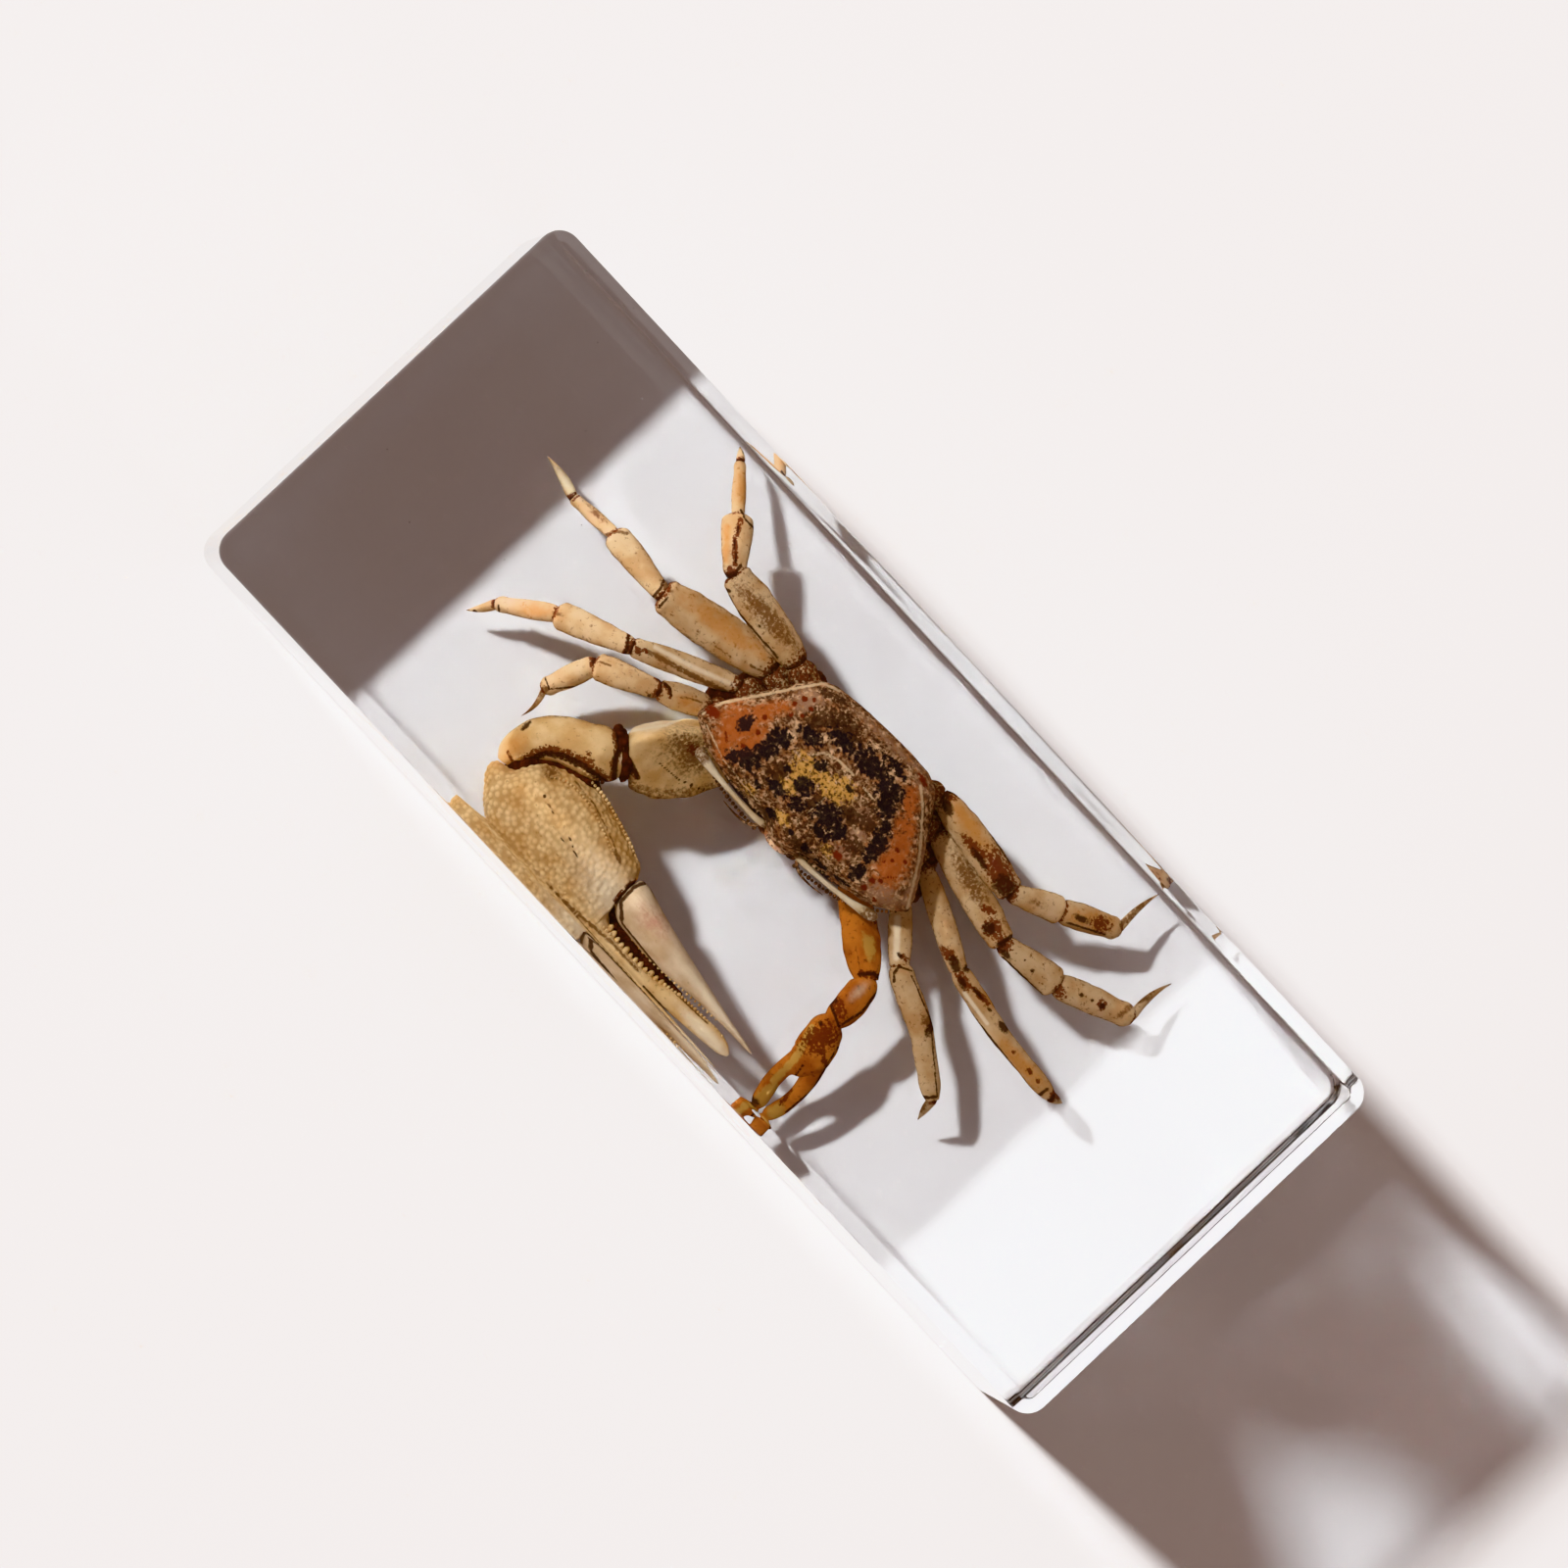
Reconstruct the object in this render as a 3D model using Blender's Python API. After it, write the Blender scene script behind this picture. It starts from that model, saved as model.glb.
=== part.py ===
"""A dried fiddler-type crab cast in a clear resin block.

The block lies along X with its dark, thin-legged end at -X and the crab's back edge towards +Y. The origin is
the middle of the face that the block rests on. The resin is parted in two at the crab's mid-height, and each
half holds half of the pocket that the crab lies in.
"""

import math
from dataclasses import dataclass

import bmesh
import bpy
from mathutils import Vector

MM = 0.001

# The casting
BLOCK_LENGTH = 111 * MM
BLOCK_WIDTH = 44.5 * MM
BLOCK_HEIGHT = 28 * MM
CORNER_RADIUS = 2.2 * MM
TOP_CHAMFER = 1.5 * MM
BOTTOM_CHAMFER = 0.5 * MM
CORNER_STEPS = 4
PARTING_HEIGHT = 13.0 * MM
GAP = 0.3 * MM
POCKET_CLEARANCE = 0.36 * MM

# The crab's body
BODY_CENTRE = (0.5, 5.2)
BODY_TURN = math.radians(3.4)
LEG_SIDES = 8
CLAW_SIDES = 12
FLAT_SHARE = 0.72
TOOTH_PITCH = 0.8
TOOTH_DEPTH = 0.4

# Half of the carapace seen from above, from the front lobe round the right side to the back edge
CARAPACE_OUTLINE = (
    (0.0, -7.6), (1.3, -7.2), (2.3, -6.4), (5.0, -6.3), (8.5, -5.7), (11.3, -4.6),
    (13.2, -3.2), (12.5, -1.5), (10.7, 1.4), (8.8, 4.4), (7.2, 6.6), (5.6, 7.4), (0.0, 7.6),
)

# Height, share of the outline at the sides and back, share of the outline at the front
CARAPACE_LEVELS = (
    (7.4, 0.34, 0.34),
    (7.9, 0.55, 0.55),
    (9.6, 0.74, 0.74),
    (12.2, 0.86, 0.83),
    (13.7, 0.90, 0.86),
    (14.2, 0.93, 0.99),
    (14.9, 0.95, 0.90),
    (15.5, 1.00, 1.00),
    (16.4, 0.98, 0.97),
    (17.6, 0.86, 0.86),
    (18.5, 0.60, 0.60),
    (18.9, 0.25, 0.25),
)


@dataclass
class Station:
    """A cross-section of a limb: its centre, its width seen from above and its height."""

    centre: Vector
    width: float
    height: float


@dataclass
class Leg:
    """A walking leg: its joints from the body to the claw tip, and the width of each segment."""

    name: str
    joints: tuple
    widths: tuple


LEGS = (
    Leg("leg_left_1",
        ((-10.0, 3.6, 9.8), (-12.5, 2.2, 10.6), (-17.0, -0.2, 12.0), (-22.7, -2.9, 10.4), (-24.4, -7.0, 7.2),
         (-23.8, -10.4, 4.4)),
        (1.6, 2.2, 2.4, 2.1, 0.9)),
    Leg("leg_left_2",
        ((-9.2, 6.3, 10.2), (-12.0, 5.7, 10.8), (-21.7, 0.7, 12.4), (-28.4, -2.1, 9.6), (-32.4, -5.9, 6.2),
         (-33.9, -7.5, 3.8)),
        (1.6, 2.2, 2.3, 1.7, 1.2)),
    Leg("leg_left_3",
        ((-8.4, 8.4, 10.4), (-11.1, 9.0, 10.8), (-23.3, 6.2, 12.2), (-30.0, 6.8, 9.6), (-35.1, 6.9, 7.2),
         (-38.9, 7.4, 5.0)),
        (1.6, 2.8, 2.5, 1.3, 1.0)),
    Leg("leg_left_4",
        ((-6.6, 10.0, 11.4), (-9.9, 11.0, 12.0), (-20.1, 12.3, 13.0), (-22.9, 16.8, 10.6), (-26.6, 19.7, 7.8),
         (-27.5, 20.6, 5.4)),
        (1.7, 3.5, 2.5, 1.8, 0.9)),
    Leg("leg_right_1",
        ((10.2, 3.9, 9.8), (12.6, 3.4, 10.4), (17.4, -1.5, 12.0), (23.3, -4.0, 10.6), (28.1, -7.6, 8.6),
         (28.7, -9.7, 4.4)),
        (1.6, 2.3, 2.2, 2.2, 1.0)),
    Leg("leg_right_2",
        ((9.4, 6.5, 10.2), (12.0, 6.9, 10.8), (21.6, 2.4, 11.2), (28.8, 1.2, 10.2), (35.3, 0.4, 8.9),
         (36.3, 0.8, 6.0)),
        (1.6, 2.2, 1.9, 1.7, 1.1)),
    Leg("leg_right_3",
        ((7.8, 8.6, 10.6), (10.6, 9.9, 11.0), (22.5, 7.2, 11.8), (28.9, 8.4, 9.0), (35.3, 11.1, 6.2),
         (35.6, 16.1, 3.7)),
        (1.6, 2.7, 2.4, 2.2, 0.9)),
    Leg("leg_right_4",
        ((5.6, 10.4, 11.4), (8.6, 12.4, 12.0), (19.5, 11.0, 12.5), (24.1, 13.4, 9.8), (28.8, 16.1, 6.6),
         (29.1, 20.4, 5.3)),
        (1.7, 3.0, 2.2, 2.2, 0.9)),
)

# For each segment from the hip outwards, shares of its length and of its width: a joint is a waist
SEGMENT_SHAPES = (
    ((0.0, 0.8), (0.6, 1.0)),
    ((0.0, 0.62), (0.15, 0.9), (0.5, 1.0), (0.87, 0.84)),
    ((0.0, 0.6), (0.2, 0.9), (0.75, 1.0)),
    ((0.0, 0.65), (0.3, 1.0), (0.85, 0.75)),
    ((0.0, 0.9), (0.5, 0.55), (1.0, 0.15)),
)

# The big claw's arm and wrist: centre, width, height
ARM_STATIONS = (
    ((-7.0, 2.0, 10.6), 3.6, 3.2),
    ((-9.8, -1.0, 11.8), 6.4, 4.0),
    ((-12.0, -3.4, 12.8), 6.2, 4.6),
    ((-13.9, -5.4, 13.6), 5.5, 5.0),
    ((-14.7, -6.2, 14.0), 4.4, 4.0),
)
WRIST_STATIONS = (
    ((-15.5, -7.4, 14.0), 3.0, 3.6),
    ((-16.9, -8.1, 14.0), 4.0, 4.8),
    ((-19.2, -8.7, 13.9), 3.8, 5.0),
    ((-21.1, -10.4, 13.4), 3.2, 4.8),
    ((-21.9, -12.8, 12.8), 2.8, 4.2),
    ((-21.9, -14.6, 12.3), 1.9, 2.8),
)

# The hand along X: place, back edge, front edge, half height
PALM_SECTIONS = (
    (-22.6, -15.8, -16.8, 0.7),
    (-21.8, -15.6, -17.9, 1.5),
    (-20.8, -15.4, -18.9, 2.2),
    (-20.1, -13.2, -19.5, 2.9),
    (-19.2, -11.8, -20.1, 3.3),
    (-17.0, -10.9, -20.7, 3.6),
    (-14.0, -10.6, -20.9, 3.7),
    (-10.5, -11.3, -20.9, 3.4),
    (-7.5, -12.2, -20.9, 3.0),
    (-5.7, -13.0, -20.9, 2.6),
    (-5.3, -17.9, -20.9, 1.9),
)
PALM_HEIGHT = 12.2
FIXED_FINGER_SECTIONS = (
    (4.2, -18.9, -20.9, 1.2),
    (7.5, -18.5, -20.8, 1.0),
    (10.2, -18.3, -20.3, 0.8),
    (11.6, -18.4, -19.4, 0.5),
    (12.2, -18.5, -18.9, 0.2),
)
TOOTH_ROW = (-4.2, 3.6)
TOOTH_ROW_BACK = (-18.0, -18.9)
TOOTH_ROW_HALF_HEIGHT = (1.7, 1.25)
FRONT_EDGE = -20.9
MOVABLE_FINGER_SECTIONS = (
    (-5.0, -14.0, -16.8, 1.9),
    (-4.3, -13.2, -17.4, 2.5),
    (-2.0, -13.9, -18.0, 2.4),
    (2.0, -14.9, -18.1, 2.0),
    (6.0, -15.4, -18.0, 1.6),
    (10.0, -15.8, -17.9, 1.2),
    (12.6, -16.4, -17.8, 0.8),
    (13.8, -17.1, -17.5, 0.25),
)
FINGER_HEIGHT = (13.0, 13.5)

# The small claw: one chain from the body to the tip of its first finger, and the second finger
SMALL_CLAW_STATIONS = (
    ((8.4, 0.9, 10.4), 2.0, 2.0),
    ((11.0, -0.9, 11.0), 2.7, 2.2),
    ((13.6, -2.5, 11.5), 3.0, 2.4),
    ((15.6, -3.7, 11.9), 2.3, 2.2),
    ((16.4, -4.6, 12.0), 1.8, 1.8),
    ((16.6, -5.6, 11.9), 2.4, 2.2),
    ((16.8, -7.4, 11.7), 2.5, 2.4),
    ((16.7, -8.9, 11.4), 1.9, 1.9),
    ((16.8, -9.8, 11.2), 2.9, 2.4),
    ((17.3, -11.6, 10.4), 3.4, 2.6),
    ((17.5, -13.2, 9.5), 2.8, 2.1),
    ((17.1, -14.4, 8.9), 1.5, 1.4),
    ((17.2, -16.4, 7.8), 1.25, 1.1),
    ((17.5, -18.6, 6.6), 1.35, 1.0),
    ((18.0, -20.1, 5.7), 0.7, 0.6),
)
SECOND_FINGER_STATIONS = (
    ((18.0, -11.8, 10.2), 1.6, 1.4),
    ((19.0, -13.8, 9.2), 1.4, 1.3),
    ((19.8, -16.2, 8.0), 1.15, 1.1),
    ((19.7, -18.6, 6.8), 1.2, 1.0),
    ((19.2, -20.0, 5.9), 0.6, 0.6),
)

# Half of the front, right side: the eyestalk in its groove, from the mouth outwards
EYESTALK_STATIONS = (
    ((1.2, -6.1, 14.6), 0.9, 0.9),
    ((2.9, -6.3, 14.7), 0.9, 0.9),
    ((7.6, -6.0, 14.75), 1.0, 1.0),
    ((10.2, -5.4, 14.75), 1.3, 1.3),
    ((11.3, -5.0, 14.75), 0.8, 0.8),
)
MOUTH_STATIONS = (
    ((0.0, -5.6, 9.4), 3.0, 2.4),
    ((0.0, -6.3, 11.0), 5.2, 2.6),
    ((0.0, -6.6, 13.0), 5.4, 2.4),
    ((0.0, -6.4, 14.6), 4.0, 1.8),
)

SHELL_COLOUR = (0.56, 0.38, 0.20, 1.0)
CARAPACE_COLOUR = (0.30, 0.14, 0.06, 1.0)
SMALL_CLAW_COLOUR = (0.42, 0.16, 0.04, 1.0)
RESIN_COLOUR = (0.93, 0.94, 0.95, 1.0)


def clear_scene():
    """Remove whatever the scene holds."""
    for thing in list(bpy.data.objects):
        bpy.data.objects.remove(thing, do_unlink=True)


def make_collection(name):
    """A collection linked to the scene."""
    collection = bpy.data.collections.new(name)
    bpy.context.scene.collection.children.link(collection)
    return collection


def make_material(name, colour, roughness, transmission=0.0):
    """A Principled material for one piece."""
    material = bpy.data.materials.new(name)
    material.use_nodes = True
    shader = material.node_tree.nodes["Principled BSDF"]
    shader.inputs["Base Color"].default_value = colour
    shader.inputs["Roughness"].default_value = roughness
    shader.inputs["Metallic"].default_value = 0.0
    shader.inputs["Transmission Weight"].default_value = transmission
    shader.inputs["IOR"].default_value = 1.5
    material.diffuse_color = colour
    return material


def skin(name, rings, collection, smooth=True):
    """One closed mesh through rings that all have the same number of points."""
    bm = bmesh.new()
    loops = [[bm.verts.new(point) for point in ring] for ring in rings]
    for lower, upper in zip(loops, loops[1:]):
        for i in range(len(lower)):
            j = (i + 1) % len(lower)
            bm.faces.new((lower[i], lower[j], upper[j], upper[i]))
    bm.faces.new(list(reversed(loops[0])))
    bm.faces.new(loops[-1])
    bmesh.ops.recalc_face_normals(bm, faces=bm.faces)
    mesh = bpy.data.meshes.new(name)
    bm.to_mesh(mesh)
    bm.free()
    if smooth:
        mesh.shade_smooth()
        mesh.set_sharp_from_angle(angle=math.radians(40))
    piece = bpy.data.objects.new(name, mesh)
    collection.objects.link(piece)
    return piece


def hide_as_guide(piece):
    """Keep a cutter or a guide out of the finished part."""
    piece.hide_render = True
    piece.display_type = "WIRE"
    return piece


def add_boolean(piece, operation, other=None, collection=None):
    """A live Boolean against one object or every object of a collection."""
    modifier = piece.modifiers.new(operation.title(), "BOOLEAN")
    modifier.operation = operation
    modifier.solver = "EXACT"
    modifier.use_self = operation == "UNION"
    if collection is None:
        modifier.object = other
    else:
        modifier.operand_type = "COLLECTION"
        modifier.collection = collection
    return modifier


def limb_rings(stations, sides, grow=0.0):
    """Elliptical rings about a limb's centre line, lengthened and widened by grow millimetres."""
    centres = [station.centre.copy() for station in stations]
    if grow:
        centres[0] -= (centres[1] - centres[0]).normalized() * grow
        centres[-1] += (centres[-1] - centres[-2]).normalized() * grow
    rings = []
    for i, station in enumerate(stations):
        ahead = centres[min(i + 1, len(centres) - 1)] - centres[max(i - 1, 0)]
        across = ahead.cross(Vector((0, 0, 1))).normalized()
        upwards = across.cross(ahead).normalized()
        ring = []
        for k in range(sides):
            turn = math.tau * k / sides
            sideways = across * (math.cos(turn) * (station.width / 2 + grow))
            rise = upwards * (math.sin(turn) * (station.height / 2 + grow))
            ring.append((centres[i] + sideways + rise) * MM)
        rings.append(ring)
    return rings


def stations_of(rows):
    """Stations from rows of centre, width and height."""
    return [Station(Vector(centre), width, height) for centre, width, height in rows]


def leg_stations(leg):
    """The stations of a leg: each segment swells between two waists, and the last one ends in a point."""
    stations = []
    for start, end, width, shape in zip(leg.joints, leg.joints[1:], leg.widths, SEGMENT_SHAPES):
        for share, fullness in shape:
            across = width * fullness
            centre = Vector(start).lerp(Vector(end), share)
            stations.append(Station(centre, across, across * FLAT_SHARE))
    return stations


def make_limb(name, stations, sides, collection, grow=0.0):
    """A limb, or its enlarged copy that cuts the pocket."""
    return skin(name, limb_rings(stations, sides, grow), collection)


def slab_rings(sections, heights, sides, grow=0.0):
    """Upright oval rings across X, each between a back edge and a front edge."""
    first, last = sections[0][0], sections[-1][0]
    rings = []
    for place, back, front, half_height in sections:
        share = (place - first) / (last - first)
        height = heights[0] + share * (heights[1] - heights[0])
        shift = -grow if place == first else grow if place == last else 0.0
        ring = []
        for k in range(sides):
            turn = math.tau * k / sides
            y = (back + front) / 2 + math.cos(turn) * ((back - front) / 2 + grow)
            z = height + math.sin(turn) * (half_height + grow)
            ring.append(Vector((place + shift, y, z)) * MM)
        rings.append(ring)
    return rings


def hand_sections():
    """The palm, then the fixed finger whose back edge carries a row of teeth."""
    sections = list(PALM_SECTIONS)
    steps = 2 * round((TOOTH_ROW[1] - TOOTH_ROW[0]) / TOOTH_PITCH)
    for i in range(steps + 1):
        share = i / steps
        place = TOOTH_ROW[0] + share * (TOOTH_ROW[1] - TOOTH_ROW[0])
        root = TOOTH_ROW_BACK[0] + share * (TOOTH_ROW_BACK[1] - TOOTH_ROW_BACK[0])
        crown = root + (TOOTH_DEPTH / 2 if i % 2 else -TOOTH_DEPTH / 2)
        half = TOOTH_ROW_HALF_HEIGHT[0] + share * (TOOTH_ROW_HALF_HEIGHT[1] - TOOTH_ROW_HALF_HEIGHT[0])
        sections.append((place, crown, FRONT_EDGE, half))
    return sections + list(FIXED_FINGER_SECTIONS)


def plain_hand_sections():
    """The hand without its teeth, for the pocket."""
    start = (TOOTH_ROW[0], TOOTH_ROW_BACK[0] + TOOTH_DEPTH / 2, FRONT_EDGE, TOOTH_ROW_HALF_HEIGHT[0])
    end = (TOOTH_ROW[1], TOOTH_ROW_BACK[1] + TOOTH_DEPTH / 2, FRONT_EDGE, TOOTH_ROW_HALF_HEIGHT[1])
    return list(PALM_SECTIONS) + [start, end] + list(FIXED_FINGER_SECTIONS)


def to_body(x, y, z):
    """A point of the body's own frame, in the block's frame."""
    cos_turn, sin_turn = math.cos(BODY_TURN), math.sin(BODY_TURN)
    return Vector((
        BODY_CENTRE[0] + x * cos_turn - y * sin_turn,
        BODY_CENTRE[1] + x * sin_turn + y * cos_turn,
        z,
    ))


def carapace_rings(grow=0.0):
    """Level rings of the body from the underside to the top of the carapace."""
    right = list(CARAPACE_OUTLINE)
    left = [(-x, y) for x, y in reversed(right[1:-1])]
    outline = right + left
    rings = []
    for level, (height, side, front) in enumerate(CARAPACE_LEVELS):
        lift = -grow if level == 0 else grow if level == len(CARAPACE_LEVELS) - 1 else 0.0
        ring = []
        for x, y in outline:
            reach = Vector((x * side, y * (front if y < -4.0 else side)))
            reach += reach.normalized() * grow
            ring.append(to_body(reach.x, reach.y, height + lift) * MM)
        rings.append(ring)
    return rings


def front_stations(rows, mirror=1):
    """Stations of a piece at the body's front, given in the body's own frame."""
    return [Station(to_body(mirror * x, y, z), width, height) for (x, y, z), width, height in rows]


def mouth_rings(grow=0.0):
    """Level rings of the mouth area, which bulges from the front under the middle of the carapace."""
    rings = []
    for index, ((x, y, z), width, depth) in enumerate(MOUTH_STATIONS):
        lift = -grow if index == 0 else grow if index == len(MOUTH_STATIONS) - 1 else 0.0
        ring = []
        for k in range(LEG_SIDES):
            turn = math.tau * k / LEG_SIDES
            side = x + math.cos(turn) * (width / 2 + grow)
            out = y + math.sin(turn) * (depth / 2 + grow)
            ring.append(to_body(side, out, z + lift) * MM)
        rings.append(ring)
    return rings


def make_body(collection, guides, pocket):
    """The body with its eyestalks and mouth area fused on, and its pocket shapes."""
    body = skin("crab_body", carapace_rings(), collection)
    parts = [skin("mouth_form", mouth_rings(), guides)]
    for side, mirror in (("left", -1), ("right", 1)):
        stalk = front_stations(EYESTALK_STATIONS, mirror)
        parts.append(make_limb(f"eyestalk_{side}_form", stalk, LEG_SIDES, guides))
        hide_as_guide(make_limb(f"eyestalk_{side}_room", stalk, LEG_SIDES, pocket, POCKET_CLEARANCE / MM))
    for part in parts:
        hide_as_guide(part)
        add_boolean(body, "UNION", part)
    grow = POCKET_CLEARANCE / MM
    room = hide_as_guide(skin("body_room", carapace_rings(grow), pocket))
    hide_as_guide(skin("mouth_room", mouth_rings(grow), pocket))
    return body, room


def make_big_claw(collection, pocket, body_room):
    """The big claw's four segments, each cut clear of the one before it."""
    grow = POCKET_CLEARANCE / MM
    heights = (PALM_HEIGHT, PALM_HEIGHT)
    hand = skin("big_claw_hand", slab_rings(hand_sections(), heights, CLAW_SIDES), collection)
    hand_room = hide_as_guide(
        skin("hand_room", slab_rings(plain_hand_sections(), heights, CLAW_SIDES, grow), pocket)
    )
    finger = skin("big_claw_finger", slab_rings(MOVABLE_FINGER_SECTIONS, FINGER_HEIGHT, CLAW_SIDES), collection)
    hide_as_guide(
        skin("finger_room", slab_rings(MOVABLE_FINGER_SECTIONS, FINGER_HEIGHT, CLAW_SIDES, grow), pocket)
    )
    add_boolean(finger, "DIFFERENCE", hand_room)
    wrist_stations = stations_of(WRIST_STATIONS)
    wrist = make_limb("big_claw_wrist", wrist_stations, CLAW_SIDES, collection)
    wrist_room = hide_as_guide(make_limb("wrist_room", wrist_stations, CLAW_SIDES, pocket, grow))
    add_boolean(wrist, "DIFFERENCE", hand_room)
    arm_stations = stations_of(ARM_STATIONS)
    arm = make_limb("big_claw_arm", arm_stations, CLAW_SIDES, collection)
    hide_as_guide(make_limb("arm_room", arm_stations, CLAW_SIDES, pocket, grow))
    add_boolean(arm, "DIFFERENCE", wrist_room)
    add_boolean(arm, "DIFFERENCE", body_room)
    return hand, finger, wrist, arm


def make_small_claw(collection, guides, pocket, body_room):
    """The small claw: a chain with one finger, and the second finger fused to its hand."""
    grow = POCKET_CLEARANCE / MM
    chain = stations_of(SMALL_CLAW_STATIONS)
    second = stations_of(SECOND_FINGER_STATIONS)
    claw = make_limb("small_claw", chain, LEG_SIDES, collection)
    finger_form = hide_as_guide(make_limb("second_finger_form", second, LEG_SIDES, guides))
    hide_as_guide(make_limb("small_claw_room", chain, LEG_SIDES, pocket, grow))
    hide_as_guide(make_limb("second_finger_room", second, LEG_SIDES, pocket, grow))
    add_boolean(claw, "UNION", finger_form)
    add_boolean(claw, "DIFFERENCE", body_room)
    return claw


def make_legs(collection, pocket, body_room):
    """The eight walking legs and the room that each one needs."""
    legs = []
    for leg in LEGS:
        stations = leg_stations(leg)
        limb = make_limb(leg.name, stations, LEG_SIDES, collection)
        hide_as_guide(make_limb(f"{leg.name}_room", stations, LEG_SIDES, pocket, POCKET_CLEARANCE / MM))
        add_boolean(limb, "DIFFERENCE", body_room)
        legs.append(limb)
    return legs


def block_ring(inset, height):
    """A level ring of the block: a rectangle with round corners, drawn in by the inset."""
    half_length = BLOCK_LENGTH / 2 - CORNER_RADIUS
    half_width = BLOCK_WIDTH / 2 - CORNER_RADIUS
    ring = []
    for quarter, (sx, sy) in enumerate(((1, 1), (-1, 1), (-1, -1), (1, -1))):
        for step in range(CORNER_STEPS + 1):
            turn = math.pi / 2 * (quarter + step / CORNER_STEPS)
            radius = CORNER_RADIUS - inset
            ring.append(Vector((
                sx * half_length + math.cos(turn) * radius,
                sy * half_width + math.sin(turn) * radius,
                height,
            )))
    return ring


def make_half(name, levels, collection, pocket):
    """One half of the casting, with its half of the pocket cut away."""
    half = skin(name, [block_ring(inset, height) for inset, height in levels], collection)
    add_boolean(half, "DIFFERENCE", collection=pocket)
    return half


def make_resin(collection, pocket):
    """The two halves of the casting, parted by a gap at the crab's mid-height."""
    lower_levels = (
        (BOTTOM_CHAMFER, 0.0),
        (0.0, BOTTOM_CHAMFER),
        (0.0, PARTING_HEIGHT - GAP / 2),
    )
    upper_levels = (
        (0.0, PARTING_HEIGHT + GAP / 2),
        (0.0, BLOCK_HEIGHT - TOP_CHAMFER),
        (TOP_CHAMFER, BLOCK_HEIGHT),
    )
    lower = make_half("resin_lower_half", lower_levels, collection, pocket)
    upper = make_half("resin_upper_half", upper_levels, collection, pocket)
    return lower, upper


def main():
    """Build the block, its pocket and the crab."""
    clear_scene()
    parts = make_collection("parts")
    guides = make_collection("guides")
    pocket = make_collection("pocket")
    body, body_room = make_body(parts, guides, pocket)
    claw_pieces = make_big_claw(parts, pocket, body_room)
    small_claw = make_small_claw(parts, guides, pocket, body_room)
    legs = make_legs(parts, pocket, body_room)
    halves = make_resin(parts, pocket)
    body.data.materials.append(make_material("carapace", CARAPACE_COLOUR, 0.55))
    small_claw.data.materials.append(make_material("small_claw_shell", SMALL_CLAW_COLOUR, 0.45))
    for piece in (*claw_pieces, *legs):
        piece.data.materials.append(make_material(f"{piece.name}_shell", SHELL_COLOUR, 0.5))
    for half in halves:
        half.data.materials.append(make_material(half.name, RESIN_COLOUR, 0.02, transmission=1.0))


if __name__ == "__main__":
    main()
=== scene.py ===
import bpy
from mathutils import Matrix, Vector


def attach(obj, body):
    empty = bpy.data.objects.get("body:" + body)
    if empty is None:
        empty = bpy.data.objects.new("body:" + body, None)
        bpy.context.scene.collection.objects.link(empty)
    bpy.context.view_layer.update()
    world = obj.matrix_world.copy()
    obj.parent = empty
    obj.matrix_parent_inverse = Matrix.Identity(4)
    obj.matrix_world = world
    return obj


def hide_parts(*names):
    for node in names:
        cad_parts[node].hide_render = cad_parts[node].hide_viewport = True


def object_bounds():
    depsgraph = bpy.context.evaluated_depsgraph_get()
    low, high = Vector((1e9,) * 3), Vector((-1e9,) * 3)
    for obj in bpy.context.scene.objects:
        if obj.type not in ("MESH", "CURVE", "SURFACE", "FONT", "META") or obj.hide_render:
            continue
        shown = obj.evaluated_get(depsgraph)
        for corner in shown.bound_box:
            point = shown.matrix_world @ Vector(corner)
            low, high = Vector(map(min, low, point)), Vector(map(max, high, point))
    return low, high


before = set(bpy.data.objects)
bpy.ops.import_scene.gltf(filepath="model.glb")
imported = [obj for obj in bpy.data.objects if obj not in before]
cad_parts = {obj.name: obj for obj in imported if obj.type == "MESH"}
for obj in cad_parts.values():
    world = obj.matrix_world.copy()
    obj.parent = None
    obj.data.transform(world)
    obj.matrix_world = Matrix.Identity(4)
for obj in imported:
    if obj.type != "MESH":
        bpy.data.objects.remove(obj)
CAD_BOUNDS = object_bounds()

"""The looks of a male fiddler-type crab cast in a clear resin block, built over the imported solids.

Places and sizes are in millimetres in the block's frame: X along the block, Y towards the crab's back edge,
Z up from the face that the block rests on. The carapace, eyes and mouth are given in the body's own frame,
which is centred on the carapace and turned a little. Colour marks are placed where they show on the top face,
looking down along the line of sight, and are painted onto the meshes as attributes.
"""

import logging
import math
from dataclasses import dataclass, field
from enum import Enum

import bmesh
import bpy
import numpy as np
from mathutils import Matrix, Vector

MM = 0.001
LOG = logging.getLogger("crab_in_resin_block")

# The block, from the frame
BLOCK_HEIGHT = (CAD_BOUNDS[1][2] - CAD_BOUNDS[0][2]) / MM

# How far a point shows towards -X and -Y on the top face, for each millimetre that it lies below that face
SIGHT_SLOPE = np.array((0.0548, 0.0431))

# The body's own frame
BODY_CENTRE = (0.5, 5.2)
BODY_TURN = math.radians(3.4)

# Refraction of the resin, and of the dried shell in it
RESIN_INDEX = 1.5
SHELL_INDEX = 1.56

# A limb's side edges are darkened with painted shade: from what share of its half width it starts, over what
# share, and how strongly
SHADED_EDGE_START = 0.72
SHADED_EDGE_WIDTH = 0.28
SHADED_EDGE_STRENGTH = 0.52

# A limb's unevenness: share of its thickness, length of its waves and seed
UNEVEN_SHARE = 0.05
UNEVEN_SIZE = 1.6
UNEVEN_SEED = 3

# A lens-shaped section's sharpness, and a three-sided section's sharpness, size, lift and lean
LENS_SHARPNESS = 0.35
WEDGE_SHARPNESS = 9
WEDGE_SIZE = 0.62
WEDGE_LIFT = 0.1
WEDGE_LEAN = 0.4

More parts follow.
